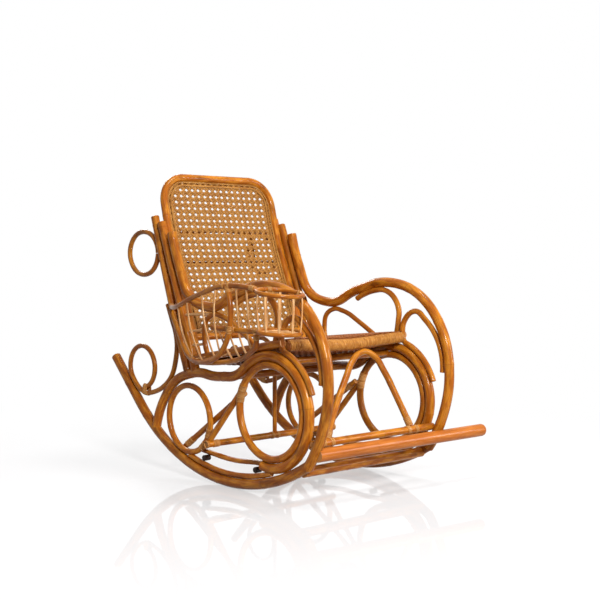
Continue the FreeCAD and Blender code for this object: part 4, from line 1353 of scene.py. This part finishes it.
    def build(self, bench: Bench) -> None:
        """Sweep the rails and weave the seat.

        Args:
            bench: Where they are swept.
        """
        seat_height = self.rockers.seat_height
        rear_y = self.bars.rear[0]
        bearer_z = (seat_height(rear_y) + self.weave_raise - self.weave_thickness / 2 - self.bearer_dia / 2
                    - 2 * FIT)
        inside = FRAME_X - self.bars.end_gap
        back_y = self.rockers.seat_back_y
        brace = line(Vector((self.brace_x, *self.bars.rear)), Vector((self.brace_x, rear_y, bearer_z)))
        poles = {
            "seat_rear_rail": Pole(self.bars.across((back_y, seat_height(back_y)), inside), self.rear_dia),
            "seat_bearer": Pole(self.bars.across((rear_y, bearer_z), inside), self.bearer_dia),
            "centre_brace": Pole(brace, self.brace_dia),
            "front_hairpin": Pole(self.hairpin_path(), self.hairpin_dia),
        }
        for name, pole in poles.items():
            bench.sweep(f"rattan_{name}", [pole], VARNISHED_RATTAN, Slot.POLE, [name])
        core_dia = self.front_dia - 2 * self.core_inset * self.winding_thickness
        core = Pole(self.front_path(), core_dia, End.FREE, End.FREE, 3.0)
        bench.sweep("rattan_seat_front_core", [core], WOVEN_REED, Slot.RAIL, ["seat_front_rail"], swell=0.0)
        flat = {"section": Section.FLAT, "sides": 6, "swell": 0.0, "unevenness": 0.06}
        bench.sweep("wrapped_seat_front_rail", [self.winding()], WOUND_PEEL, Slot.RAIL,
                    thickness=self.winding_thickness / self.winding_width, **{**flat, "sides": 8})
        bench.sweep("woven_seat_warp", self.warp(), WOVEN_REED, Slot.SEAT, ["seat_weave"],
                    thickness=self.reed_thickness / self.warp_width, **flat)
        bench.sweep("woven_seat_weft", self.weft(), WOVEN_REED, Slot.SEAT,
                    thickness=self.reed_thickness / self.weft_width, **flat)
        bench.sweep("woven_seat_lower_layer", self.lower_layer(), WOVEN_REED, Slot.SEAT,
                    thickness=self.reed_thickness / self.lower_pitch, **flat)


@dataclass
class BackPanel:
    """Back frame with its six-way cane, and the bars behind it."""

    rockers: Rockers
    seat: Seat
    post_dia: float = 30.0
    frame_dia: float = 26.0
    foot: Place = (1.0, -17.2)
    places: tuple[Place, ...] = ((297, 643), (360, 808), (392, 923))
    corner: float = 95.0
    panel_rail_dia: float = 24.0
    panel_rail_z: float = 469.0
    bow_dia: float = 20.0
    bow_end: Place = (384.0, 795.0)
    bow_crown: Place = (392.0, 833.0)
    rail_dia: float = 18.0
    rail: Place = (358.0, 713.0)
    strut_dia: float = 14.0
    strut_x: float = 135.0
    columns: int = 18
    row_pitch: float = 22.0
    pair_gap: float = 3.5
    strand_width: float = 6.5
    diagonal_width: float = 9.0
    strand_thickness: float = 1.1
    ride_over: float = 0.7
    slant_lift: float = 1.2
    tuck: float = 5.0
    border_insets: tuple[float, float] = (3.5, 15.5)
    border_width: float = 8.6
    border_off: float = 2.4
    # A darker reed strip behind the cane border, there so that the holes between the two border strips show
    # dark brown: painted shade.
    shade_backing_width: float = 20.0
    shade_backing_off: float = -2.8

    def __post_init__(self) -> None:
        """Work out the profile of the panel and the edges of the cane."""
        rail = (self.rockers.seat_back_y, self.rockers.seat_height(self.rockers.seat_back_y))
        foot = (rail[0] + self.foot[0], rail[1] + self.foot[1])
        side = bend([Vector((0, *place)) for place in (foot, *self.places)])
        up = (side[-1] - side[-2]).normalized()
        self.up = up
        self.side = side
        self.profile = side[:-1] + line(side[-1], side[-1] + up * self.corner)
        self.lengths = [0.0]
        for before, after in zip(self.profile, self.profile[1:]):
            self.lengths.append(self.lengths[-1] + (after - before).length)
        self.half_width = FRAME_X - self.post_dia / 2 - self.frame_dia / 2 - FIT
        self.inner_half = self.half_width - self.frame_dia / 2
        self.inner_corner = self.corner - self.frame_dia / 2
        self.top = self.lengths[-1] - self.frame_dia / 2
        low_z = self.panel_rail_z + self.panel_rail_dia / 2
        self.low = next(length for point, length in zip(self.profile, self.lengths) if point.z > low_z)

    def frame_path(self) -> Path:
        """Sides up the profile, round corners and a straight top.

        Returns:
            Centre line of the back frame.
        """
        left = [point - ALONG_X * self.half_width for point in self.side]
        right = [point + ALONG_X * self.half_width for point in reversed(self.side)]
        reach = self.half_width - self.corner
        first = sweep_round(self.side[-1] - ALONG_X * reach, -ALONG_X, self.up, self.corner, 0, 90)
        second = sweep_round(self.side[-1] + ALONG_X * reach, ALONG_X, self.up, self.corner, 90, 0)
        return left[:-1] + first[:-1] + line(first[-1], second[0])[:-1] + second[:-1] + right

    def on_panel(self, x: float, height: float, off: float) -> tuple[Vector, Vector]:
        """Point of the cane and its direction to the front.

        Args:
            x: Place across.
            height: Length up the profile.
            off: Distance in front of the middle of the cane.

        Returns:
            The point and the unit direction to the front there.
        """
        index = next((i for i, length in enumerate(self.lengths) if length > height), len(self.lengths) - 1)
        before, after = self.profile[index - 1], self.profile[index]
        way = (after - before).normalized()
        front = Vector((0, -way.z, way.y))
        point = before + way * (height - self.lengths[index - 1])
        return point + ALONG_X * x + front * off, front

    def inside(self, x: float, height: float, margin: float) -> bool:
        """Whether a place lies within the inner edge of the frame, a margin wider.

        Args:
            x: Place across.
            height: Length up the profile.
            margin: How far past the edge still counts.

        Returns:
            Whether it does.
        """
        if abs(x) > self.inner_half + margin or not self.low - margin <= height <= self.top + margin:
            return False
        over_x = abs(x) - (self.inner_half - self.inner_corner)
        over_z = height - (self.top - self.inner_corner)
        return over_x <= 0 or over_z <= 0 or math.hypot(over_x, over_z) <= self.inner_corner + margin

    def strand(self, places: Sequence[Point], width: float) -> Pole | None:
        """Strand through places (x, height, off), kept where they are inside the frame.

        Args:
            places: Places along the strand.
            width: Width of the strand.

        Returns:
            The strand, or nothing where too little of it is inside.
        """
        kept = [self.on_panel(*place) for place in places if self.inside(place[0], place[1], self.tuck)]
        if len(kept) < 3:
            return None
        return Pole([point for point, _ in kept], width, facing=[front for _, front in kept])

    def upright_strands(self) -> list[Pole | None]:
        """Pairs of strands up the panel, over one and under one.

        Returns:
            The strands.
        """
        strands = []
        for column in range(1, self.columns):
            for hand in (-1, 1):
                x = self.column_x(column) + hand * self.pair_gap
                places = []
                for row in range(-1, self.rows() + 2):
                    level = self.low + row * self.row_pitch
                    for side in (-1, 1):
                        places.append((x, level + side * self.pair_gap, -hand * side * self.ride_over))
                    places.append((x, level + self.row_pitch / 2, 0.0))
                strands.append(self.strand(places, self.strand_width))
        return strands

    def level_strands(self) -> list[Pole | None]:
        """Pairs of strands across the panel, over one and under one.

        Returns:
            The strands.
        """
        pitch = 2 * self.inner_half / self.columns
        strands = []
        for row in range(self.rows() + 1):
            for side in (-1, 1):
                level = self.low + row * self.row_pitch + side * self.pair_gap
                places = []
                for column in range(-1, self.columns + 2):
                    x = self.column_x(column)
                    for hand in (-1, 1):
                        places.append((x + hand * self.pair_gap, level, hand * side * self.ride_over))
                    places.append((x + pitch / 2, level, 0.0))
                strands.append(self.strand(places, self.strand_width))
        return strands

    def slanting_strands(self, rise: int) -> list[Pole | None]:
        """Wider strands across the corners of the cells, over and under those that slant the other way.

        Args:
            rise: One for strands that rise to the left side of the chair, minus one for the others.

        Returns:
            The strands.
        """
        strands = []
        for number in range(-self.rows() - self.columns, self.rows() + self.columns):
            places = []
            for step in range(4 * self.columns + 1):
                column = step / 4
                row = rise * column + number + 0.5
                lift = rise * self.slant_lift * math.cos(math.tau * column)
                places.append((self.column_x(column), self.low + row * self.row_pitch, lift))
            strands.append(self.strand(places, self.diagonal_width))
        return strands

    def column_x(self, column: float) -> float:
        """Place across of a border between cells."""
        return -self.inner_half + column * 2 * self.inner_half / self.columns

    def rows(self) -> int:
        """Number of rows of cells."""
        return math.floor((self.top - self.low) / self.row_pitch)

    def border(self, inset: float, width: float, off: float) -> Pole:
        """Flat strip up, over and down along the inside of the frame.

        Args:
            inset: Distance of its middle from the frame.
            width: Width of the strip.
            off: Distance in front of the middle of the cane.

        Returns:
            The strip.
        """
        corner_x, corner_at = self.inner_half - self.inner_corner, self.top - self.inner_corner
        radius = self.inner_corner - inset
        count = int((corner_at - self.low) / STEP)
        upright = [(inset - self.inner_half, self.low + STEP * step) for step in range(count)]
        places = list(upright)
        for start, sign in ((180, -1), (90, 1)):
            for degrees in range(start, start - 91, -5):
                across, up = polar((0, 0), radius, degrees)
                places.append((sign * corner_x + across, corner_at + up))
        places += [(-x, height) for x, height in reversed(upright)]
        laid = [self.on_panel(x, height, off) for x, height in places]
        return Pole([point for point, _ in laid], width, facing=[front for _, front in laid])

    def build(self, bench: Bench) -> None:
        """Sweep the frame and the bars, and weave the cane.

        Args:
            bench: Where they are swept.
        """
        bow = bend([Vector((-FRAME_X, *self.bow_end)), Vector((0, *self.bow_crown)),
                    Vector((FRAME_X, *self.bow_end))])
        on_bow = level_with(bow, "x", self.strut_x)
        low = level_with(self.side, "z", self.panel_rail_z)
        panel_rail = self.seat.bars.across((low.y, low.z), self.half_width)
        poles = {
            "back_frame": [Pole(self.frame_path(), self.frame_dia), Pole(panel_rail, self.panel_rail_dia)],
            "back_bow": [Pole(bow, self.bow_dia)],
            "back_rail": [Pole(self.seat.bars.across(self.rail, FRAME_X), self.rail_dia)],
            "back_strut": [Pole(line(Vector((self.strut_x, *self.rail)), on_bow), self.strut_dia)],
        }
        for name, swept in poles.items():
            bench.sweep(f"rattan_{name}", swept, VARNISHED_RATTAN, Slot.POLE, [name])
        weaves = {
            "back_cane_uprights": self.upright_strands(),
            "back_cane_levels": self.level_strands(),
            "back_cane_slants_left": self.slanting_strands(1),
            "back_cane_slants_right": self.slanting_strands(-1),
            "back_cane_border": [self.border(inset, self.border_width, self.border_off)
                                 for inset in self.border_insets],
            # Darker reed behind the border: painted shade in its holes.
            "back_cane_backing": [self.border(sum(self.border_insets) / 2, self.shade_backing_width,
                                              self.shade_backing_off)],
        }
        for name, strands in weaves.items():
            kept = [strand for strand in strands if strand]
            # The backing strip takes the darker seat reed, as painted shade in the border's holes.
            bench.sweep(name, kept, WOVEN_REED if "backing" in name else CHAIR_CANE, Slot.CANE,
                        ["back_cane"] if "uprights" in name else (), Section.FLAT, 6,
                        self.strand_thickness / kept[0].width, 0.0, 0.05)


@dataclass
class CupBasket:
    """Round cup basket at the front of the right arm."""

    out: float = 78.0
    y: float = -317.0
    heights: tuple[float, float] = (634.0, 517.0)
    radii: tuple[float, float] = (70.0, 64.0)
    tilts: tuple[float, float] = (8.0, 4.0)
    rim_dia: float = 13.0
    spoke_width: float = 8.0
    spoke_thickness: float = 4.2
    spokes: int = 10
    spoke_phase: float = 0.3
    spoke_bulge: float = 3.0
    base_rods: int = 5
    base_pitch: float = 22.0
    joint: float = 95.0
    rim_turn: float = 359.6

    def centre(self, level: int) -> Vector:
        """Centre of the upper (0) or lower (1) rim."""
        return in_frame(Side.RIGHT, (self.y, self.heights[level]), -self.out)

    def rearward(self, level: int) -> Vector:
        """Direction in the plane of a rim that points to the rear."""
        return heading(self.tilts[level])

    def on_rim(self, level: int, degrees: float) -> Vector:
        """Point on a rim at an angle about its centre.

        Args:
            level: Upper (0) or lower (1) rim.
            degrees: Angle from +X.

        Returns:
            The point.
        """
        angle = math.radians(degrees)
        radius = self.radii[level]
        return (self.centre(level) + ALONG_X * (radius * math.cos(angle))
                + self.rearward(level) * (radius * math.sin(angle)))

    def build(self, bench: Bench) -> None:
        """Sweep the rims, the upright strips and the rods of the base.

        Args:
            bench: Where they are swept.
        """
        free = End.FREE
        rims = [Pole(sweep_round(self.centre(level), ALONG_X, self.rearward(level), self.radii[level],
                                 self.joint, self.joint + self.rim_turn), self.rim_dia, free, free, 0.8)
                for level in (0, 1)]
        bench.sweep("rattan_cup_rims", rims, VARNISHED_RATTAN, Slot.POLE, ["cup_rims"])
        strips = []
        for index in range(self.spokes):
            degrees = 360 * (index + self.spoke_phase) / self.spokes
            top, low = self.on_rim(0, degrees), self.on_rim(1, degrees)
            outwards = Vector((math.cos(math.radians(degrees)), math.sin(math.radians(degrees)), 0))
            path = bend([top, (top + low) / 2 + outwards * self.spoke_bulge, low])
            strips.append(Pole(path, self.spoke_width, facing=[outwards] * len(path)))
        for index in range(self.base_rods):
            offset = (index - (self.base_rods - 1) / 2) * self.base_pitch
            start = math.degrees(math.asin(offset / self.radii[1]))
            path = line(self.on_rim(1, start), self.on_rim(1, 180 - start))
            strips.append(Pole(path, self.spoke_width, facing=[UP] * len(path)))
        bench.sweep("peel_cup_spokes", strips, PALE_PEEL, Slot.POLE, ["cup_spokes"], Section.FLAT, 10,
                    self.spoke_thickness / self.spoke_width, 0.0)


@dataclass
class MagazineBasket:
    """Open basket on the outside of the right arm: rim, hoops, rail, upright strips and floor rods."""

    rockers: Rockers
    cup: CupBasket
    rim_dia: float = 16.0
    rim: tuple[Point, ...] = ((17, 292, 574), (77, 190, 576), (111, 30, 620), (123, -117, 652),
                              (125, -262, 645))
    hoop_dia: float = 17.0
    hoop: tuple[Point, ...] = ((124, -128, 652), (126, -138, 503), (115, -90, 448), (87, 52, 405),
                               (55, 154, 420), (36, 223, 482), (22, 290, 560))
    front_hoop_dia: float = 16.0
    front_hoop: tuple[Point, ...] = ((127, -266, 513), (117, -258, 486), (97, -199, 447), (75, -60, 412),
                                     (82, 75, 404))
    rail_dia: float = 16.0
    rail: tuple[Point, ...] = ((111, -40, 521), (111, -262, 517))
    spoke_width: float = 8.0
    spoke_thickness: float = 4.5
    spoke_bulge: float = 14.0
    spoke_shares: tuple[Place, ...] = ((0.25, 0.63), (0.37, 0.52), (0.54, 0.40), (0.67, 0.345))
    rail_spoke_ys: tuple[float, ...] = (-172, -222)
    rail_spoke_bulge: float = 3.0
    low_spoke_ys: tuple[Place, ...] = ((-70, -105), (-118, -148), (-168, -190), (-212, -222))
    low_spoke_bulge: float = 5.0
    floor_rod_ys: tuple[float, ...] = (-10, 55, 120)
    rung_dia: float = 9.0
    rungs: tuple[tuple[Place, Place], ...] = (((297, 543), (96, 553)), ((274, 484), (137, 500)),
                                              ((257, 440), (128, 454)))

    def run(self, points: Sequence[Point]) -> Path:
        """Bent run through points (distance out from the side frame, y, z)."""
        return bend([in_frame(Side.RIGHT, point[1:], -point[0]) for point in points])

    def bulged(self, start: Vector, end: Vector, bulge: float) -> Path:
        """Run from start to end that bows away from the chair."""
        return bend([start, (start + end) / 2 - ALONG_X * bulge, end])

    def build(self, bench: Bench) -> None:
        """Sweep the poles and the strips.

        Args:
            bench: Where they are swept.
        """
        rim, hoop = self.run(self.rim), self.run(self.hoop)
        free, held = End.FREE, End.HELD
        poles = {
            "basket_rim": Pole(rim, self.rim_dia, free, held, 2.0),
            "basket_hoop": Pole(hoop, self.hoop_dia, held, free, 2.0),
            "basket_front_hoop": Pole(self.run(self.front_hoop), self.front_hoop_dia),
            "basket_rail": Pole(self.run(self.rail), self.rail_dia),
        }
        for name, pole in poles.items():
            bench.sweep(f"rattan_{name}", [pole], VARNISHED_RATTAN, Slot.POLE, [name])
        rungs = [Pole(line(*[in_frame(Side.RIGHT, place) for place in ends]), self.rung_dia)
                 for ends in self.rungs]
        bench.sweep("rattan_basket_rungs", rungs, PALE_PEEL, Slot.POLE, sides=12)
        strips = []
        for on_rim, on_hoop in self.spoke_shares:
            start, _ = at_length(rim, on_rim * length_of(rim))
            end, _ = at_length(hoop, on_hoop * length_of(hoop))
            strips.append((self.bulged(start, end, self.spoke_bulge), -ALONG_X))
        for y in self.rail_spoke_ys:
            start = level_with(rim, "y", y)
            end = in_frame(Side.RIGHT, (y, self.rail[1][2]), -self.rail[1][0])
            strips.append((self.bulged(start, end, self.rail_spoke_bulge), -ALONG_X))
        rail, front_hoop = self.run(self.rail), self.run(self.front_hoop)
        for on_rail, on_hoop in self.low_spoke_ys:
            start = level_with(rail, "y", on_rail)
            end = level_with(front_hoop, "y", on_hoop)
            strips.append((self.bulged(start, end, self.low_spoke_bulge), -ALONG_X))
        low = [point for point in hoop if point.z < self.cup.heights[1]]
        for y in self.floor_rod_ys:
            start = level_with(low, "y", y)
            end = in_frame(Side.RIGHT, (y, self.rockers.seat_height(y)))
            strips.append((line(start, end), UP))
        spokes = [Pole(path, self.spoke_width, facing=[way] * len(path)) for path, way in strips]
        bench.sweep("peel_basket_spokes", spokes, PALE_PEEL, Slot.POLE, ["basket_spokes"], Section.FLAT, 10,
                    self.spoke_thickness / self.spoke_width, 0.0)


@dataclass
class Joint:
    """A lashed joint: the pole that is wound, where, and the neighbour that is tied to it."""

    path: Path
    radius: float
    at: Vector
    turns: int = 4
    other: Path = field(default_factory=list)
    other_radius: float = 0.0


@dataclass
class Lashings:
    """Windings of rattan peel over the joints."""

    joints: dict[str, list[Joint]]
    peel_width: float = 5.0
    peel_thickness: float = 2.0
    proud: float = 0.3
    steps: int = 24
    first_way: Point = (0.3, 0.5, 0.8)

    def winding(self, joint: Joint) -> Pole:
        """Peel wound side by side round a pole and its neighbour.

        Args:
            joint: The joint.

        Returns:
            Strip along the winding.
        """
        index = min(range(len(joint.path)), key=lambda number: (joint.path[number] - joint.at).length)
        middle = length_of(joint.path[:index + 1])
        beside = Vector(self.first_way)
        gap = 0.0
        if joint.other:
            beside = nearest(joint.other, joint.at) - joint.path[index]
            gap = beside.length
        path: Path = []
        facing: list[Vector] = []
        for step in range(joint.turns * self.steps + 1):
            shift = self.peel_width * (step / self.steps - joint.turns / 2)
            point, along = at_length(joint.path, middle + shift)
            right = (beside - along * beside.dot(along)).normalized()
            angle = math.tau * step / self.steps
            way = right * math.cos(angle) + along.cross(right) * math.sin(angle)
            if way.dot(right) * gap + joint.other_radius > joint.radius:
                foot = right * gap + way * joint.other_radius
            else:
                foot = way * joint.radius
            path.append(point + foot + way * (self.proud * self.peel_thickness))
            facing.append(way)
        return Pole(path, self.peel_width, facing=facing)

    def build(self, bench: Bench) -> None:
        """Wind the lashings.

        Args:
            bench: Where they are swept.
        """
        for name, joints in self.joints.items():
            bench.sweep(f"peel_lashing_{name}", [self.winding(joint) for joint in joints], SPLIT_PEEL,
                        Slot.POLE, (), Section.FLAT, 6, self.peel_thickness / self.peel_width, 0.0)


@dataclass
class Studio:
    """White floor, soft light and the camera, in metres; each lamp has a name, place, size and power."""

    camera_at: Point = (-2.656, -2.868, 0.754)
    camera_turn: Point = (87.66, 0.0, -43.08)
    lens: float = 70.0
    sensor: float = 36.0
    floor_size: float = 60.0
    floor_shade: str = "#F4F3F4"
    # Grey that only diffuse bounce rays see on the floor, so that less light bounces up: painted shade on the
    # chair's undersides.
    floor_bounce_painted_shade: str = "#746C64"
    fade_start: float = 0.9
    fade_end: float = 2.2
    fade_least: float = 0.45
    floor_roughness: float = 0.03
    floor_ior: float = 2.1
    ambient: float = 0.28
    lamps: tuple[tuple[str, Point, float, float], ...] = (
        ("key_softbox", (-1.6, -3.2, 2.0), 0.7, 135.0), ("top_softbox", (0.3, -0.7, 3.4), 0.8, 50.0),
        ("fill_softbox", (2.0, -2.6, 1.2), 1.0, 45.0), ("rear_softbox", (1.2, 3.0, 2.2), 1.0, 55.0))
    lamps_aim: Point = (0.0, 0.0, 0.45)

    def build(self) -> None:
        """Set up the floor, the world, the lamps and the camera."""
        self._floor()
        self._world()
        for lamp in self.lamps:
            self._lamp(*lamp)
        data = bpy.data.cameras.new("camera")
        data.lens = self.lens
        data.sensor_width = self.sensor
        camera = new_object("camera", data)
        camera.location = self.camera_at
        camera.rotation_euler = [math.radians(turn) for turn in self.camera_turn]
        bpy.context.scene.camera = camera
        bpy.context.scene.view_settings.view_transform = "Standard"

    def _seen(self, tree: Tree) -> Socket:
        """Output that is one for camera, glossy and transmission rays.

        Args:
            tree: Tree of a material or the world.

        Returns:
            The output.
        """
        light_path = add_node(tree, "ShaderNodeLightPath").outputs
        seen = light_path["Is Camera Ray"]
        for kind in ("Is Glossy Ray", "Is Transmission Ray"):
            seen = calculate(tree, "MAXIMUM", seen, light_path[kind])
        return seen

    def _floor(self) -> None:
        """Pale floor with a faint gloss that fades into the white background away from the chair; diffuse
        bounce rays see it grey instead, as painted shade on the chair's undersides.
        """
        half = self.floor_size / 2
        mesh = bpy.data.meshes.new("studio_floor")
        corners = [(-half, -half, 0), (half, -half, 0), (half, half, 0), (-half, half, 0)]
        mesh.from_pydata(corners, [], [(0, 1, 2, 3)])
        material, tree = new_material("studio_acrylic_sheet")
        place = add_node(tree, "ShaderNodeTexCoord").outputs["Object"]
        away = add_node(tree, "ShaderNodeVectorMath", {"operation": "LENGTH"}, {0: place}).outputs["Value"]
        fade = remap(tree, away, self.fade_start, self.fade_end, self.fade_least, 1.0)
        seen = self._seen(tree)
        share = calculate(tree, "MULTIPLY", fade, seen)
        # Camera and glossy rays see the pale sheet; bounce rays see the grey, which is painted shade under
        # the chair.
        shade = add_node(tree, "ShaderNodeMix", {"data_type": "RGBA"},
                         {0: seen, 6: linear(self.floor_bounce_painted_shade), 7: linear(self.floor_shade)})
        sheet = add_node(tree, "ShaderNodeBsdfPrincipled", None,
                         {"Base Color": shade.outputs[2], "Roughness": self.floor_roughness,
                          "IOR": self.floor_ior})
        white = add_node(tree, "ShaderNodeEmission", None, {"Color": (1, 1, 1, 1), "Strength": 1.0})
        mixed = add_node(tree, "ShaderNodeMixShader", None,
                         {0: share, 1: sheet.outputs[0], 2: white.outputs[0]})
        add_node(tree, "ShaderNodeOutputMaterial", None, {"Surface": mixed.outputs[0]})
        mesh.materials.append(material)
        new_object("studio_floor", mesh)

    def _world(self) -> None:
        """Even soft light, seen as white."""
        world = bpy.data.worlds.new("studio")
        bpy.context.scene.world = world
        world.use_nodes = True
        tree = world.node_tree
        tree.nodes.clear()
        level = remap(tree, self._seen(tree), 0.0, 1.0, self.ambient, 1.0, "LINEAR")
        sky = add_node(tree, "ShaderNodeBackground", None, {"Color": (1, 1, 1, 1), "Strength": level})
        add_node(tree, "ShaderNodeOutputWorld", None, {"Surface": sky.outputs[0]})

    def _lamp(self, name: str, place: Point, size: float, power: float) -> None:
        """Square softbox aimed at the middle of the chair.

        Args:
            name: Name of the lamp.
            place: Where it stands, in metres.
            size: Side of the square, in metres.
            power: Power in watts.
        """
        data = bpy.data.lights.new(name, "AREA")
        data.size = size
        data.energy = power
        lamp = new_object(name, data)
        lamp.location = place
        aim = Vector(self.lamps_aim) - Vector(place)
        lamp.rotation_euler = aim.to_track_quat("-Z", "Y").to_euler()


# Where lashings sit on a side frame: the braces' joint as an angle on the big ring, the end of the curl,
# steps from the ends of the long brace, and the angle to either side of the rear stretcher.
BRACE_ON_RING = 20.0
CURL_TIE: Place = (462, 262)
BRACE_STEPS = 9
BESIDE_STRETCHER = 14.0
# Across the chair: steps from the feet of the hairpin, and distances beside it and the centre brace.
HAIRPIN_STEPS = 7
BESIDE_HAIRPIN = 19.0
BESIDE_BRACE = 13.0
# On the baskets: a height on the hoop's first leg, places along Y, and angles on the cup's upper rim.
HOOP_TIE_Z = 520.0
HOOP_LEG_STEPS = 50
CUP_TIE_Y = -250.0
HOOP_ON_RIM_Y = -128.0
HOOP_ON_RAIL_Y = -136.0
BESIDE_HOOP = 15.0
CUP_ON_ARM = -20.0
CUP_TIE = 75.0


def side_joints(side_frame: SideFrame, bars: CrossBars) -> list[Joint]:
    """Lashed joints of one side frame: braces and stretcher on the rings, and the end of the curl.

    Args:
        side_frame: The side frame.
        bars: The bars across the chair.

    Returns:
        The joints.
    """
    sizes = side_frame.rockers
    big = frame_arc(side_frame.side, sizes.big_ring, sizes.big_ring_radius, -40, 60)
    rear = frame_arc(side_frame.side, sizes.rear_ring, sizes.rear_ring_radius, 160, 340)
    stretcher = bars.across(bars.rear, FRAME_X + bars.rear_overhang)
    brace = side_frame.long_brace_path()
    scroll = side_frame.back_scroll_path()
    thin = side_frame.brace_dia / 2
    curl = side_frame.curl_dia / 2
    on_big = in_frame(side_frame.side, polar(sizes.big_ring, sizes.big_ring_radius, BRACE_ON_RING))
    joints = [Joint(big, sizes.big_ring_dia / 2, on_big, 12), Joint(brace, thin, brace[BRACE_STEPS], 5),
              Joint(brace, thin, brace[-BRACE_STEPS - 1], 8),
              Joint(scroll, curl, in_frame(side_frame.side, CURL_TIE), 6, scroll[-9:], curl)]
    for degrees in (bars.rear_angle - BESIDE_STRETCHER, bars.rear_angle + BESIDE_STRETCHER):
        on_ring = in_frame(side_frame.side, polar(sizes.rear_ring, sizes.rear_ring_radius, degrees))
        joints.append(Joint(rear, sizes.rear_ring_dia / 2, on_ring, 6))
    for inset, turns in ((24.0, 5), (-12.0, 2)):
        joints.append(Joint(stretcher, bars.rear_dia / 2, in_frame(side_frame.side, bars.rear, inset), turns))
    return joints


def middle_joints(seat: Seat) -> list[Joint]:
    """Lashed joints across the middle: the hairpin's feet and the foot of the centre brace.

    Args:
        seat: The seat.

    Returns:
        The joints.
    """
    bars = seat.bars
    front, rear = bars.across(bars.front, FRAME_X), bars.across(bars.rear, FRAME_X)
    hairpin = seat.hairpin_path()
    joints = [Joint(hairpin, seat.hairpin_dia / 2, hairpin[HAIRPIN_STEPS], 6),
              Joint(hairpin, seat.hairpin_dia / 2, hairpin[-HAIRPIN_STEPS - 1], 6)]
    for foot in (hairpin[0], hairpin[-1]):
        for shift in (-BESIDE_HAIRPIN, BESIDE_HAIRPIN):
            joints.append(Joint(front, bars.front_dia / 2, foot + ALONG_X * shift, 3))
    for shift in (-BESIDE_BRACE, BESIDE_BRACE):
        joints.append(Joint(rear, bars.rear_dia / 2, Vector((seat.brace_x + shift, *bars.rear)), 2))
    return joints


def basket_joints(side_frame: SideFrame, basket: MagazineBasket) -> list[Joint]:
    """Lashed joints of the two baskets.

    Args:
        side_frame: Right side frame.
        basket: The magazine basket, with the cup basket that it meets.

    Returns:
        The joints.
    """
    rim, hoop, rail = basket.run(basket.rim), basket.run(basket.hoop), basket.run(basket.rail)
    front_hoop = basket.run(basket.front_hoop)
    upright, arm = side_frame.plane_bend(side_frame.upright), side_frame.plane_bend(side_frame.arm)
    cup = basket.cup
    top = sweep_round(cup.centre(0), ALONG_X, cup.rearward(0), cup.radii[0], -90, 120)
    on_arm = nearest(arm, cup.on_rim(0, CUP_ON_ARM))
    on_leg = level_with(hoop[:HOOP_LEG_STEPS], "z", HOOP_TIE_Z)
    joints = [Joint(rim, basket.rim_dia / 2, rim[3], 4, upright, side_frame.upright_dia / 2),
              Joint(hoop, basket.hoop_dia / 2, hoop[4], 4),
              Joint(hoop, basket.hoop_dia / 2, on_leg, 5),
              Joint(rim, basket.rim_dia / 2, level_with(rim, "y", CUP_TIE_Y), 4),
              Joint(rail, basket.rail_dia / 2, rail[-4], 3),
              Joint(front_hoop, basket.front_hoop_dia / 2, front_hoop[3], 3),
              Joint(arm, side_frame.arm_dia / 2, on_arm, 5, top, cup.rim_dia / 2),
              Joint(top, cup.rim_dia / 2, cup.on_rim(0, CUP_TIE), 3)]
    for shift in (-BESIDE_HOOP, BESIDE_HOOP):
        on_rim = level_with(rim, "y", HOOP_ON_RIM_Y - shift)
        on_rail = level_with(rail, "y", HOOP_ON_RAIL_Y - shift)
        joints += [Joint(rim, basket.rim_dia / 2, on_rim, 2), Joint(rail, basket.rail_dia / 2, on_rail, 2)]
    return joints


def main() -> None:
    """Build the chair, its sub-assemblies in order, and the studio."""
    logging.basicConfig(level=logging.INFO, format="%(message)s")
    bench = Bench()
    rockers = Rockers()
    frames = [SideFrame(rockers, side) for side in Side]
    for side_frame in frames:
        side_frame.build(bench)
    bench.sweep("dark_spacer_pegs", [peg for side_frame in frames for peg in side_frame.pegs()], STAINED_PEG,
                Slot.PEG, ["spacer_pegs"], swell=0.0, unevenness=0.01, cut=STAINED_PEG)
    bench.sweep("rattan_dowel_pegs", [dowel for side_frame in frames for dowel in side_frame.dowels()],
                VARNISHED_RATTAN, Slot.POLE, ["dowel_pegs"], swell=0.0)
    bars = CrossBars(rockers)
    bars.build(bench)
    seat = Seat(rockers, bars)
    seat.build(bench)
    BackPanel(rockers, seat).build(bench)
    cup = CupBasket()
    cup.build(bench)
    basket = MagazineBasket(rockers, cup)
    basket.build(bench)
    joints = {f"side_{side_frame.side.name.lower()}": side_joints(side_frame, bars) for side_frame in frames}
    joints |= {"middle": middle_joints(seat), "baskets": basket_joints(frames[0], basket)}
    Lashings(joints).build(bench)
    Studio().build()


if __name__ == "__main__":
    main()
